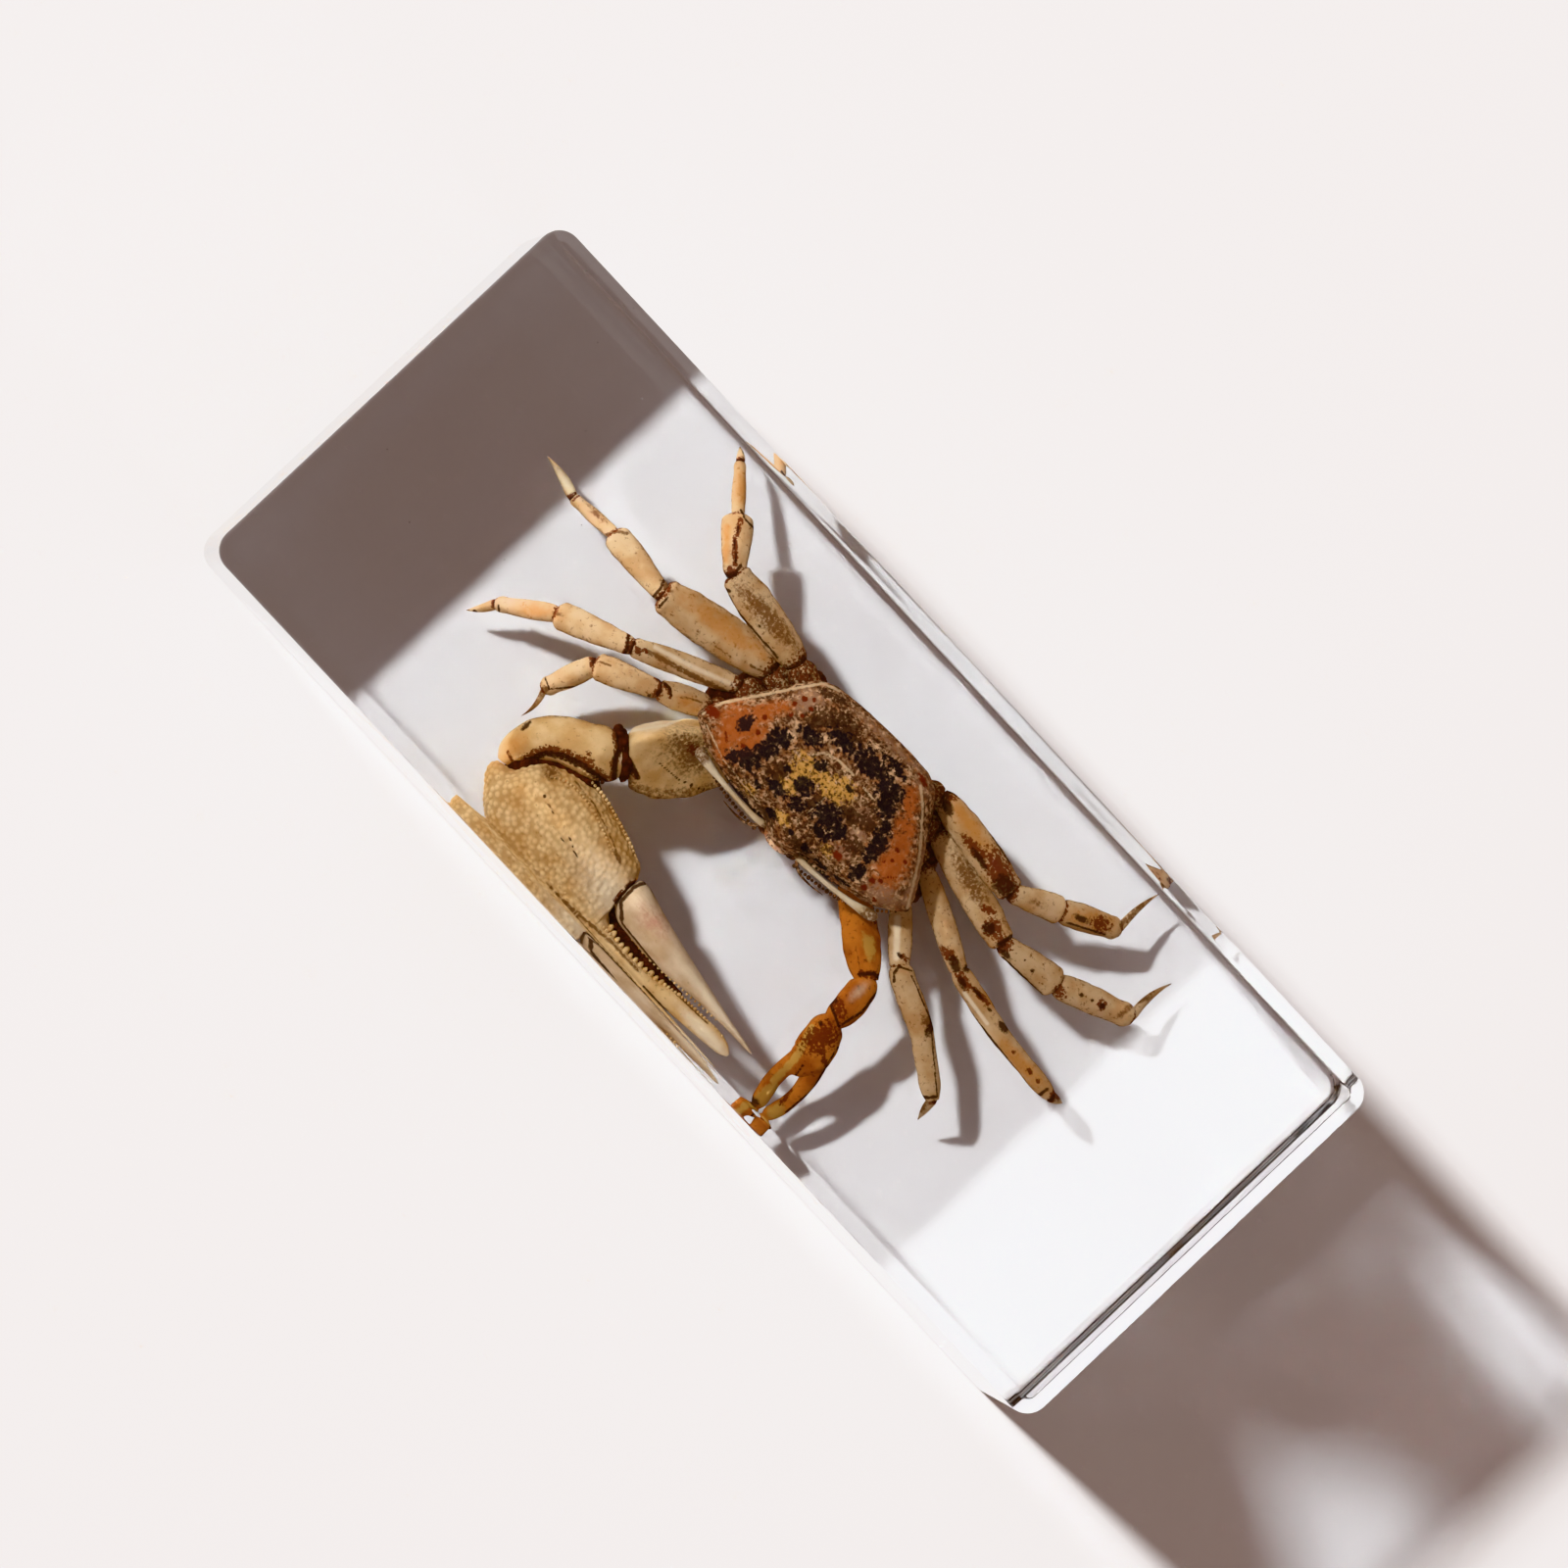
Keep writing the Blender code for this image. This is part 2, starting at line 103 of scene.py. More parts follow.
# The least half width and half height of a hand's section, and the least width of a limb
THINNEST_SLAB = 0.03
THINNEST_LIMB = 0.04

# Random waves in an unevenness: how many, and how many radians each turns over one size
WAVES = 10
WAVE_TURN = 2.2


class Tint(Enum):
    """The marks on a shell. Each is a mesh attribute from 0 to 1, and the mark's edge lies at a half."""

    OCHRE = "ochre"
    AMBER = "amber"
    ROSE = "rose"
    PALE = "pale"
    UMBER = "umber"
    RUST = "rust"
    SOOT = "soot"


class Section(Enum):
    """The shape of a limb's cross-section."""

    OVAL = "oval"
    LENS = "lens"
    WEDGE = "wedge"


def linear(code: str) -> tuple[float, float, float, float]:
    """Turn an sRGB hex colour into a linear one, by the sRGB standard's curve.

    Args:
        code: the colour as six hex digits.

    Returns:
        Red, green, blue and an alpha of 1.
    """
    shares = [int(code[i:i + 2], 16) / 255 for i in (0, 2, 4)]
    return (*(s / 12.92 if s <= 0.04045 else ((s + 0.055) / 1.055) ** 2.4 for s in shares), 1.0)


def add(tree: bpy.types.NodeTree, kind: str, settings: dict | None = None,
        **sockets: object) -> bpy.types.Node:
    """Add a node with its settings and links.

    Args:
        tree: the node tree.
        kind: the node's type.
        settings: attributes of the node, by name.
        sockets: input values or linked outputs, by name with underscores for spaces, or by in_ and an index.

    Returns:
        The node.
    """
    node = tree.nodes.new(kind)
    for name, value in (settings or {}).items():
        setattr(node, name, value)
    for name, value in sockets.items():
        key = int(name[3:]) if name.startswith("in_") else name.replace("_", " ")
        socket = node.inputs[key]
        if isinstance(value, bpy.types.NodeSocket):
            tree.links.new(value, socket)
        else:
            socket.default_value = value
    return node


def blend_colours(tree: bpy.types.NodeTree, share: object, below: object,
                  above: object) -> bpy.types.NodeSocket:
    """Mix two colours by a share and give the result's socket."""
    mix = add(tree, "ShaderNodeMix", {"data_type": "RGBA"}, in_0=share, in_6=below, in_7=above)
    return mix.outputs[2]


@dataclass(frozen=True)
class Layer:
    """One kind of mark in a shell's finish."""

    tint: Tint
    colour: str
    grain: float
    ragged: float = 0.7
    softness: float = 0.25
    opacity: float = 1.0


SHELL_LAYERS = (
    Layer(Tint.OCHRE, "C09450", 0.8),
    Layer(Tint.AMBER, "C88A4A", 0.9, ragged=0.7, softness=0.7, opacity=0.75),
    Layer(Tint.ROSE, "C0957A", 0.7, softness=0.5),
    Layer(Tint.PALE, "F0E0C0", 0.5, ragged=0.3, softness=0.6, opacity=0.8),
    Layer(Tint.UMBER, "6E4628", 0.35, ragged=1.2, softness=0.4, opacity=0.85),
    Layer(Tint.RUST, "642410", 0.3, ragged=1.7, softness=0.25, opacity=0.92),
    Layer(Tint.SOOT, "38190F", 0.35, ragged=0.8, softness=0.3, opacity=0.92),
)


@dataclass(frozen=True)
class ShellFinish:
    """Dried crab shell: matte chitin with clouded pigment, dark pores and a fine grain, wetted by resin.

    The shell lies in resin, so its gloss comes from the ratio of the two indices.
    """

    name: str
    base: str
    cloud: str
    speck: str
    speck_share: float = 0.16
    speck_size: float = 0.45
    speck_strength: float = 0.7
    cloud_size: float = 2.6
    roughness: float = 0.42
    grain_size: float = 0.28
    grain_depth: float = 0.03
    # Scale of the grain along X: below 1 draws it out in lines
    streak: float = 1.0
    # Colour of the painted shade between raised pebbles
    between: str = "4A2A1C"
    layers: tuple[Layer, ...] = SHELL_LAYERS

    def build(self) -> bpy.types.Material:
        """Make the material.

        Returns:
            The finished material.
        """
        material = bpy.data.materials.new(self.name)
        material.use_nodes = True
        tree = material.node_tree
        shader = tree.nodes["Principled BSDF"]
        place = add(tree, "ShaderNodeTexCoord").outputs["Object"]
        clouds = add(tree, "ShaderNodeTexNoise", Vector=place, Scale=1 / (self.cloud_size * MM), Detail=4.0)
        share = add(tree, "ShaderNodeMapRange", {"interpolation_type": "SMOOTHSTEP"}, Value=clouds.outputs[0],
                    From_Min=0.35, From_Max=0.68)
        colour = blend_colours(tree, share.outputs[0], linear(self.base), linear(self.cloud))
        specks = add(tree, "ShaderNodeTexNoise", Vector=place, Scale=1 / (self.speck_size * MM), Detail=3.0,
                     Roughness=0.65)
        # Noise crowds round a half, so a small share of specks needs a level well above it
        edge = 0.5 + 0.22 * (1 - self.speck_share * 2)
        dots = add(tree, "ShaderNodeMapRange", Value=specks.outputs[0], From_Min=edge - 0.05,
                   From_Max=edge + 0.06, To_Max=self.speck_strength)
        colour = blend_colours(tree, dots.outputs[0], colour, linear(self.speck))
        # Painted shade: darker towards the hollows between pebbles
        painted_hollow_shade = add(tree, "ShaderNodeAttribute", {"attribute_name": "painted_hollow_shade"})
        colour = blend_colours(tree, painted_hollow_shade.outputs["Fac"], colour, linear(self.between))
        for layer in self.layers:
            colour = self.lay(tree, place, colour, layer)
        lines = add(tree, "ShaderNodeMapping", Vector=place, Scale=(self.streak, 1.0, 1.0))
        grain = add(tree, "ShaderNodeTexNoise", Vector=lines.outputs[0], Scale=1 / (self.grain_size * MM),
                    Detail=3.0)
        bump = add(tree, "ShaderNodeBump", Strength=1.0, Distance=self.grain_depth * MM,
                   Height=grain.outputs[0])
        gloss = add(tree, "ShaderNodeMapRange", Value=clouds.outputs[0], From_Min=0.3, From_Max=0.7,
                    To_Min=self.roughness - 0.06, To_Max=self.roughness + 0.12)
        tree.links.new(colour, shader.inputs["Base Color"])
        tree.links.new(gloss.outputs[0], shader.inputs["Roughness"])
        tree.links.new(bump.outputs[0], shader.inputs["Normal"])
        shader.inputs["IOR"].default_value = SHELL_INDEX / RESIN_INDEX
        return material

    @staticmethod
    def lay(tree: bpy.types.NodeTree, place: object, colour: object, layer: Layer) -> bpy.types.NodeSocket:
        """Lay one kind of mark over a colour, with its edge broken up by noise.

        Args:
            tree: the material's nodes.
            place: the coordinates' socket.
            colour: the colour so far.
            layer: the kind of mark.

        Returns:
            The socket of the new colour.
        """
        mark = add(tree, "ShaderNodeAttribute", {"attribute_name": layer.tint.value})
        noise = add(tree, "ShaderNodeTexNoise", Vector=place, Scale=1 / (layer.grain * MM), Detail=4.0,
                    Roughness=0.62)
        wander = add(tree, "ShaderNodeMath", {"operation": "MULTIPLY_ADD"}, in_0=noise.outputs[0],
                     in_1=layer.ragged * 2, in_2=-layer.ragged)
        level = add(tree, "ShaderNodeMath", {"operation": "MULTIPLY_ADD"}, in_0=wander.outputs[0],
                    in_1=mark.outputs["Fac"], in_2=mark.outputs["Fac"])
        mask = add(tree, "ShaderNodeMapRange", {"interpolation_type": "SMOOTHSTEP"}, Value=level.outputs[0],
                   From_Min=0.5 - layer.softness / 2, From_Max=0.5 + layer.softness / 2, To_Max=layer.opacity)
        return blend_colours(tree, mask.outputs[0], colour, linear(layer.colour))


# Walking legs: dull tan shell with brown pores and dark red-brown joints
LEG_SHELL = ShellFinish("dried_leg_shell", base="D6B88E", cloud="C0986A", speck="6C4222", speck_share=0.2)
# Palm, wrist and arm of the big claw: pale tan shell with a pebbled surface, grown thick
CLAW_SHELL = ShellFinish("pebbled_claw_shell", base="E8C893", cloud="D2A870", speck="8A6438",
                         speck_share=0.12, between="A87A44")
# Fingers of the big claw: smooth cream shell with fine lengthwise lines, so its grain is drawn out along X
FINGER_SHELL = ShellFinish("striped_finger_shell", base="E4CCAA", cloud="CDB08A", speck="9C7C54",
                           speck_share=0.06, streak=0.12, grain_size=0.22, grain_depth=0.05)
# Small claw: glossy shell of a deep amber-brown, the colour of thin chitin with light behind it
SMALL_CLAW_SHELL = ShellFinish("amber_claw_shell", base="C67A38", cloud="9C5220", speck="4E1C0C",
                               speck_share=0.2, roughness=0.34)
# Carapace: mottled tan and brown shell under black, orange and ochre pigment
CARAPACE_SHELL = ShellFinish("mottled_carapace_shell", base="DCB68E", cloud="A87450", speck="3A1C16",
                             speck_share=0.48, speck_strength=0.9, speck_size=0.42, cloud_size=0.8, layers=(
    Layer(Tint.OCHRE, "D6A45C", 0.4, ragged=1.7, opacity=0.85),
    Layer(Tint.AMBER, "B26236", 0.5, ragged=1.0, softness=0.5, opacity=0.86),
    Layer(Tint.ROSE, "A88268", 0.42, ragged=1.8, softness=0.4, opacity=0.8),
    Layer(Tint.PALE, "D8BC94", 0.4, ragged=1.2, softness=0.5, opacity=0.8),
    Layer(Tint.UMBER, "3C261C", 0.36, ragged=1.9, softness=0.2, opacity=0.88),
    Layer(Tint.RUST, "6A2412", 0.3, ragged=0.9, softness=0.3),
    Layer(Tint.SOOT, "242326", 0.42, ragged=1.3, softness=0.2, opacity=0.95),
))
# Eyestalk: smooth cream chitin
EYESTALK_SHELL = ShellFinish("cream_eyestalk_shell", base="E6D6B8", cloud="CDB48C", speck="8A6C4A",
                             speck_share=0.04, roughness=0.35)

# Skin of the joints and of the gape: dried to a dark red-brown crust with tan grains
JOINT_SKIN = ShellFinish("dried_joint_skin", base="5A2616", cloud="34140C", speck="9A5C38", speck_share=0.1,
                         speck_size=0.35, cloud_size=0.8, roughness=0.5, grain_depth=0.06, between="24100A")


@dataclass(frozen=True)
class CastResin:
    """Polyester casting resin, poured clear and polished: colourless, with a trace of grey in its depth."""

    name: str = "polished_clear_casting_resin"
    index: float = RESIN_INDEX
    absorbed: str = "AEB6BD"
    density: float = 8.0

    def build(self) -> bpy.types.Material:
        """Make the see-through material."""
        material = bpy.data.materials.new(self.name)
        material.use_nodes = True
        tree = material.node_tree
        shader = tree.nodes["Principled BSDF"]
        shader.inputs["Base Color"].default_value = (1, 1, 1, 1)
        shader.inputs["Roughness"].default_value = 0.0
        shader.inputs["IOR"].default_value = self.index
        shader.inputs["Transmission Weight"].default_value = 1.0
        depth = add(tree, "ShaderNodeVolumeAbsorption", Color=linear(self.absorbed), Density=self.density)
        tree.links.new(depth.outputs[0], tree.nodes["Material Output"].inputs["Volume"])
        return material


@dataclass(frozen=True)
class MattFloor:
    """Matt white card: even, with the slightest fibre cloud in its gloss."""

    name: str = "matt_white_card"
    colour: str = "D2D1D1"
    cloud_size: float = 9.0

    def build(self) -> bpy.types.Material:
        """Make the floor's material."""
        material = bpy.data.materials.new(self.name)
        material.use_nodes = True
        tree = material.node_tree
        shader = tree.nodes["Principled BSDF"]
        place = add(tree, "ShaderNodeTexCoord").outputs["Object"]
        fibres = add(tree, "ShaderNodeTexNoise", Vector=place, Scale=1 / (self.cloud_size * MM), Detail=2.0)
        gloss = add(tree, "ShaderNodeMapRange", Value=fibres.outputs[0], To_Min=0.85, To_Max=0.95)
        tree.links.new(gloss.outputs[0], shader.inputs["Roughness"])
        shader.inputs["Base Color"].default_value = linear(self.colour)
        shader.inputs["Specular IOR Level"].default_value = 0.2
        return material


@dataclass(frozen=True)
class Spot:
    """A soft oval mark, placed where it shows on the top face.

    It is strongest in the middle, half as strong at the oval's edge and ends at twice the oval's size.
    """

    tint: Tint
    x: float
    y: float
    half_length: float
    half_width: float
    turn: float = 0.0
    strength: float = 1.0

    def field(self, plan: np.ndarray) -> np.ndarray:
        """Give the mark's strength at points of the plan.

        Args:
            plan: x and y of each point as it shows on the top face.

        Returns:
            One strength for each point.
        """
        turn = math.radians(self.turn)
        dx, dy = plan[:, 0] - self.x, plan[:, 1] - self.y
        along = (dx * math.cos(turn) + dy * math.sin(turn)) / self.half_length
        aside = (dy * math.cos(turn) - dx * math.sin(turn)) / self.half_width
        return self.strength * np.clip(1 - np.hypot(along, aside) / 2, 0, 1)


@dataclass(frozen=True)
class Streak:
    """A soft line through points, placed where it shows on the top face, that fades out over its width."""

    tint: Tint
    width: float
    points: tuple[tuple[float, float], ...]
    strength: float = 1.0

    def field(self, plan: np.ndarray) -> np.ndarray:
        """Give the mark's strength at points of the plan.

        Args:
            plan: x and y of each point as it shows on the top face.

        Returns:
            One strength for each point.
        """
        nearest = np.full(len(plan), np.inf)
        for start, end in zip(self.points, self.points[1:]):
            a, b = np.array(start), np.array(end)
            share = np.clip((plan - a) @ (b - a) / ((b - a) @ (b - a)), 0, 1)
            nearest = np.minimum(nearest, np.linalg.norm(plan - a - share[:, None] * (b - a), axis=1))
        return self.strength * np.clip(1 - nearest / self.width, 0, 1)


def spots(tint: Tint, *rows: tuple[float, ...]) -> tuple[Spot, ...]:
    """Give spots of one tint: x, y, half length, half width, and any turn in degrees and strength."""
    return tuple(Spot(tint, *row) for row in rows)


def streaks(tint: Tint, *rows: tuple) -> tuple[Streak, ...]:
    """Give streaks of one tint: width, points, and any strength."""
    return tuple(Streak(tint, *row) for row in rows)


@dataclass
class Shell:
    """One closed surface: points in millimetres, faces, and the tints of its points."""

    points: np.ndarray
    faces: list[tuple[int, ...]]
    tints: dict[str, np.ndarray] = field(default_factory=dict)

    def paint(self, marks: tuple[Spot | Streak, ...]) -> None:
        """Add marks to the shell's tints. Where marks of one tint meet, the stronger holds.

        Args:
            marks: the marks to add.
        """
        plan = self.points[:, :2] - SIGHT_SLOPE * (BLOCK_HEIGHT - self.points[:, 2:3])
        for mark in marks:
            self.raise_tint(mark.tint, mark.field(plan))

    def raise_tint(self, tint: Tint, values: np.ndarray) -> None:
        """Raise one tint to the values where they are higher.

        Args:
            tint: the tint.
            values: one value for each point.
        """
        old = self.tints.get(tint.value, np.zeros(len(self.points)))
        self.tints[tint.value] = np.maximum(old, values)


def merged(shells: list[Shell]) -> Shell:
    """Put several shells in one, each still closed.

    Args:
        shells: the shells, in order.

    Returns:
        One shell with all their points, faces and tints.
    """
    faces, start = [], 0
    names = {name for shell in shells for name in shell.tints}
    for shell in shells:
        faces += [tuple(i + start for i in face) for face in shell.faces]
        start += len(shell.points)
    tints = {name: np.concatenate([s.tints.get(name, np.zeros(len(s.points))) for s in shells])
             for name in names}
    return Shell(np.concatenate([s.points for s in shells]), faces, tints)


def store(mesh: bpy.types.Mesh, name: str, values: np.ndarray) -> None:
    """Keep one value for each point of a mesh as an attribute."""
    attribute = mesh.attributes.new(name, "FLOAT", "POINT")
    attribute.data.foreach_set("value", values.astype(np.float32))


def fading(distance: np.ndarray, strength: float, reach: float) -> np.ndarray:
    """Give a tint that has a strength at distance 0 and falls by one for each reach, between 0 and 1."""
    return np.clip(strength - distance / reach, 0, 1)


def lengths_along(points: np.ndarray) -> np.ndarray:
    """Give the length from the first point to each, along the line through the points."""
    return np.concatenate([[0.0], np.cumsum(np.linalg.norm(np.diff(points, axis=0), axis=1))])


def bands(count: int, sides: int) -> list[tuple[int, ...]]:
    """Give the four-sided faces between rings that follow each other.

    Args:
        count: how many rings there are.
        sides: points in each ring.

    Returns:
        The faces, ring by ring.
    """
    faces: list[tuple[int, ...]] = []
    for i in range(count - 1):
        for j in range(sides):
            k = (j + 1) % sides
            faces.append((i * sides + j, i * sides + k, (i + 1) * sides + k, (i + 1) * sides + j))
    return faces


def make_mesh(name: str, shell: Shell) -> bpy.types.Object:
    """Make an object from a shell, with its faces turned outwards and its tints as attributes.

    Args:
        name: the object's name.
        shell: the shape, in millimetres.

    Returns:
        The object, in metres.
    """
    mesh = bpy.data.meshes.new(name)
    mesh.from_pydata((shell.points * MM).tolist(), [], shell.faces)
    for tint in Tint:
        values = shell.tints.get(tint.value, np.zeros(len(shell.points)))
        store(mesh, tint.value, np.clip(values, 0, 1))
    bm = bmesh.new()
    bm.from_mesh(mesh)
    bmesh.ops.recalc_face_normals(bm, faces=bm.faces)
    bm.to_mesh(mesh)
    bm.free()
    mesh.shade_smooth()
    piece = bpy.data.objects.new(name, mesh)
    bpy.context.scene.collection.objects.link(piece)
    return piece


def smooth_through(places: np.ndarray, values: np.ndarray, wanted: np.ndarray) -> np.ndarray:
    """Read a smooth curve through values at the wanted places.

    Args:
        places: rising places of the given values.
        values: one row for each place.
        wanted: the places to read.

    Returns:
        One row for each wanted place.
    """
    slopes = np.gradient(values, places, axis=0)
    at = np.clip(np.searchsorted(places, wanted, "right") - 1, 0, len(places) - 2)
    step = (places[at + 1] - places[at])[:, None]
    t = ((wanted - places[at])[:, None]) / step
    start, end = values[at], values[at + 1]
    bulge = (t ** 3 - 2 * t ** 2 + t) * slopes[at] * step + (t ** 3 - t ** 2) * slopes[at + 1] * step
    return start + (3 * t ** 2 - 2 * t ** 3) * (end - start) + bulge


def loft(rings: np.ndarray) -> Shell:
    """Close a surface over rings, with a pole at each end.

    Args:
        rings: ring by ring, the points of each, in millimetres.

    Returns:
        The shell. Its last two points are the poles.
    """
    count, sides = rings.shape[:2]
    points = np.concatenate([rings.reshape(-1, 3), rings[0].mean(0)[None], rings[-1].mean(0)[None]])
    first, last = count * sides, count * sides + 1
    faces = bands(count, sides)
    for j in range(sides):
        k = (j + 1) % sides
        faces.append((first, k, j))
        faces.append((last, (count - 1) * sides + j, (count - 1) * sides + k))
    return Shell(points, faces)


def section_points(section: Section, sides: int) -> np.ndarray:
    """Give a cross-section's outline, about one in half width and half height.

    Args:
        section: the shape.
        sides: how many points.

    Returns:
        Across and up for each point.
    """
    turn = np.linspace(0, math.tau, sides, endpoint=False)
    across, up = np.cos(turn), np.sin(turn)
    if section is Section.LENS:
        up = up * np.abs(up) ** LENS_SHARPNESS
    if section is Section.WEDGE:
        normals = math.pi / 2 + np.arange(3) * math.tau / 3 + math.pi
        facing = np.maximum(np.cos(turn[:, None] - normals), 0)
        reach = (facing ** WEDGE_SHARPNESS).sum(1) ** (-1 / WEDGE_SHARPNESS)
        across, up = across * reach * WEDGE_SIZE, up * reach * WEDGE_SIZE + WEDGE_LIFT
        across = across + WEDGE_LEAN * up
    return np.stack([across, up], axis=1)


def tube(rows: np.ndarray, section: Section, sides: int) -> Shell:
    """Close a limb's surface round its centre line, with painted shade along its side edges.

    Args:
        rows: centre x, y, z, width and height at each ring.
        section: the cross-section's shape.
        sides: points in each ring.

    Returns:
        The shell.
    """
    centres = rows[:, :3]
    ahead = np.gradient(centres, axis=0)
    ahead /= np.linalg.norm(ahead, axis=1)[:, None]
    across = np.cross(ahead, (0.0, 0.0, 1.0))
    across /= np.linalg.norm(across, axis=1)[:, None]
    up = np.cross(across, ahead)
    shape = section_points(section, sides)
    sideways = across[:, None] * shape[None, :, :1] * rows[:, None, 3:4] / 2
    rise = up[:, None] * shape[None, :, 1:] * rows[:, None, 4:5] / 2
    offset = sideways + rise
    swelling = 1 + UNEVEN_SHARE * unevenness(centres[:, None] + offset, UNEVEN_SIZE, UNEVEN_SEED)
    shell = loft(centres[:, None] + offset * swelling[..., None])
    # Painted shade: umber along the limb's side edges
    side = np.clip((np.abs(shape[:, 0]) - SHADED_EDGE_START) / SHADED_EDGE_WIDTH, 0, 1)
    shell.raise_tint(Tint.UMBER, np.concatenate([np.tile(side, len(rows)), [0.0, 0.0]]) * SHADED_EDGE_STRENGTH)
    return shell


def unevenness(points: np.ndarray, size: float, seed: int) -> np.ndarray:
    """Give a smooth random value at each point, mostly from -1 to 1, by crossed waves of about one size.

    Args:
        points: places in millimetres, on the last axis.
        size: length of the waves.
        seed: the seed of the waves.

    Returns:
        One value for each point.
    """
    chance = np.random.default_rng(seed)
    waves = chance.normal(size=(WAVES, 3)) * WAVE_TURN / size
    return np.sin(points @ waves.T + chance.uniform(0, math.tau, WAVES)).sum(-1) / 6


def limb(stations: tuple[tuple[tuple[float, float, float], float, float], ...],
         section: Section = Section.OVAL, sides: int = 32, spacing: float = 0.15) -> Shell:
    """Close a smooth limb through stations of centre, width and height.

    Args:
        stations: centre, width and height of each.
        section: the cross-section's shape.
        sides: points in each ring.
        spacing: distance between rings.

    Returns:
        The closed shell.
    """
    rows = np.array([(*centre, width, height) for centre, width, height in stations])
    places = lengths_along(rows[:, :3])
    wanted = np.linspace(0, places[-1], max(8, round(places[-1] / spacing)))
    smooth = smooth_through(places, rows, wanted)
    smooth[:, 3:] = np.maximum(smooth[:, 3:], THINNEST_LIMB)
    return tube(smooth, section, sides)


def to_block(points: np.ndarray) -> np.ndarray:
    """Move points from the body's own frame to the block's.

    Args:
        points: x, y and z on the last axis.

    Returns:
        The moved points.
    """
    cos_turn, sin_turn = math.cos(BODY_TURN), math.sin(BODY_TURN)
    moved = points.copy()
    moved[..., 0] = BODY_CENTRE[0] + points[..., 0] * cos_turn - points[..., 1] * sin_turn
    moved[..., 1] = BODY_CENTRE[1] + points[..., 0] * sin_turn + points[..., 1] * cos_turn
    return moved


def group_inputs(name: str,
                 inputs: dict[str, str]) -> tuple[bpy.types.NodeTree, bpy.types.Node, bpy.types.Node]:
    """Start a Geometry Nodes tree with named inputs.

    Args:
        name: the tree's name.
        inputs: each input's socket type, by its name.

    Returns:
        The tree, its input node and its output node.
    """
    tree = bpy.data.node_groups.new(name, "GeometryNodeTree")
    tree.interface.new_socket(name="Geometry", in_out="INPUT", socket_type="NodeSocketGeometry")
    for label, kind in inputs.items():
        tree.interface.new_socket(name=label, in_out="INPUT", socket_type=kind)
    tree.interface.new_socket(name="Geometry", in_out="OUTPUT", socket_type="NodeSocketGeometry")
    return tree, tree.nodes.new("NodeGroupInput"), tree.nodes.new("NodeGroupOutput")


def finish_tree(tree: bpy.types.NodeTree, geometry: object, given: bpy.types.Node,
                result: bpy.types.Node) -> None:
    """End a tree: realize the instances, set the material and shade smooth.

    Args:
        tree: the tree.
        geometry: the socket of what it has made.
        given: its input node.
        result: its output node.
    """
    whole = add(tree, "GeometryNodeRealizeInstances", Geometry=geometry)
    clad = add(tree, "GeometryNodeSetMaterial", Geometry=whole.outputs[0], Material=given.outputs["Material"])
    smooth = add(tree, "GeometryNodeSetShadeSmooth", Geometry=clad.outputs[0])
    tree.links.new(smooth.outputs[0], result.inputs[0])


def room_share(tree: bpy.types.NodeTree, given: bpy.types.Node, share: float) -> bpy.types.NodeSocket:
    """Give a share of the pebbles' spacing."""
    return add(tree, "ShaderNodeMath", {"operation": "MULTIPLY"}, in_0=given.outputs["Spacing"],
               in_1=share).outputs[0]


def pebble_tree() -> bpy.types.NodeTree:
    """Make the tree that raises a surface in low rounded pebbles, set by chance at a least spacing, and
    stores painted shade for the hollows between them.
    """
    tree, given, result = group_inputs("pebbled_skin", {
        "Spacing": "NodeSocketFloat", "Height": "NodeSocketFloat", "Material": "NodeSocketMaterial"})
    room = add(tree, "ShaderNodeMath", {"operation": "MULTIPLY"}, in_0=given.outputs["Spacing"],
               in_1=given.outputs["Spacing"])
    dense = add(tree, "ShaderNodeMath", {"operation": "DIVIDE"}, in_0=1.6, in_1=room.outputs[0])
    mask = add(tree, "GeometryNodeInputNamedAttribute", {"data_type": "FLOAT"}, Name="pebbled")
    seeds = add(tree, "GeometryNodeDistributePointsOnFaces", {"distribute_method": "POISSON"},
                Mesh=given.outputs["Geometry"], Distance_Min=given.outputs["Spacing"],
                Density_Max=dense.outputs[0], Density_Factor=mask.outputs[0], Seed=4)
    near = add(tree, "GeometryNodeProximity", {"target_element": "POINTS"}, in_0=seeds.outputs[0])
    rise = add(tree, "ShaderNodeMapRange", {"interpolation_type": "SMOOTHSTEP"},
               Value=near.outputs["Distance"], From_Min=0.0, From_Max=given.outputs["Spacing"],
               To_Min=given.outputs["Height"], To_Max=0.0)
    kept = add(tree, "ShaderNodeMath", {"operation": "MULTIPLY"}, in_0=rise.outputs[0], in_1=mask.outputs[0])
    out = add(tree, "ShaderNodeVectorMath", {"operation": "SCALE"},
              in_0=add(tree, "GeometryNodeInputNormal").outputs[0], Scale=kept.outputs[0])
    raised = add(tree, "GeometryNodeSetPosition", Geometry=given.outputs["Geometry"], Offset=out.outputs[0])
    # Painted shade: points far from every pebble are stored as hollow, to be darkened in the material
    between = add(tree, "ShaderNodeMapRange", {"interpolation_type": "SMOOTHSTEP"},
                  Value=near.outputs["Distance"], From_Min=room_share(tree, given, 0.34),
                  From_Max=room_share(tree, given, 0.75), To_Max=0.5)
    shade = add(tree, "ShaderNodeMath", {"operation": "MULTIPLY"}, in_0=between.outputs[0],
                in_1=mask.outputs[0])
    kept_shade = add(tree, "GeometryNodeStoreNamedAttribute", {"data_type": "FLOAT", "domain": "POINT"},
                     Geometry=raised.outputs[0], Name="painted_hollow_shade", Value=shade.outputs[0])
    finish_tree(tree, kept_shade.outputs[0], given, result)
    return tree


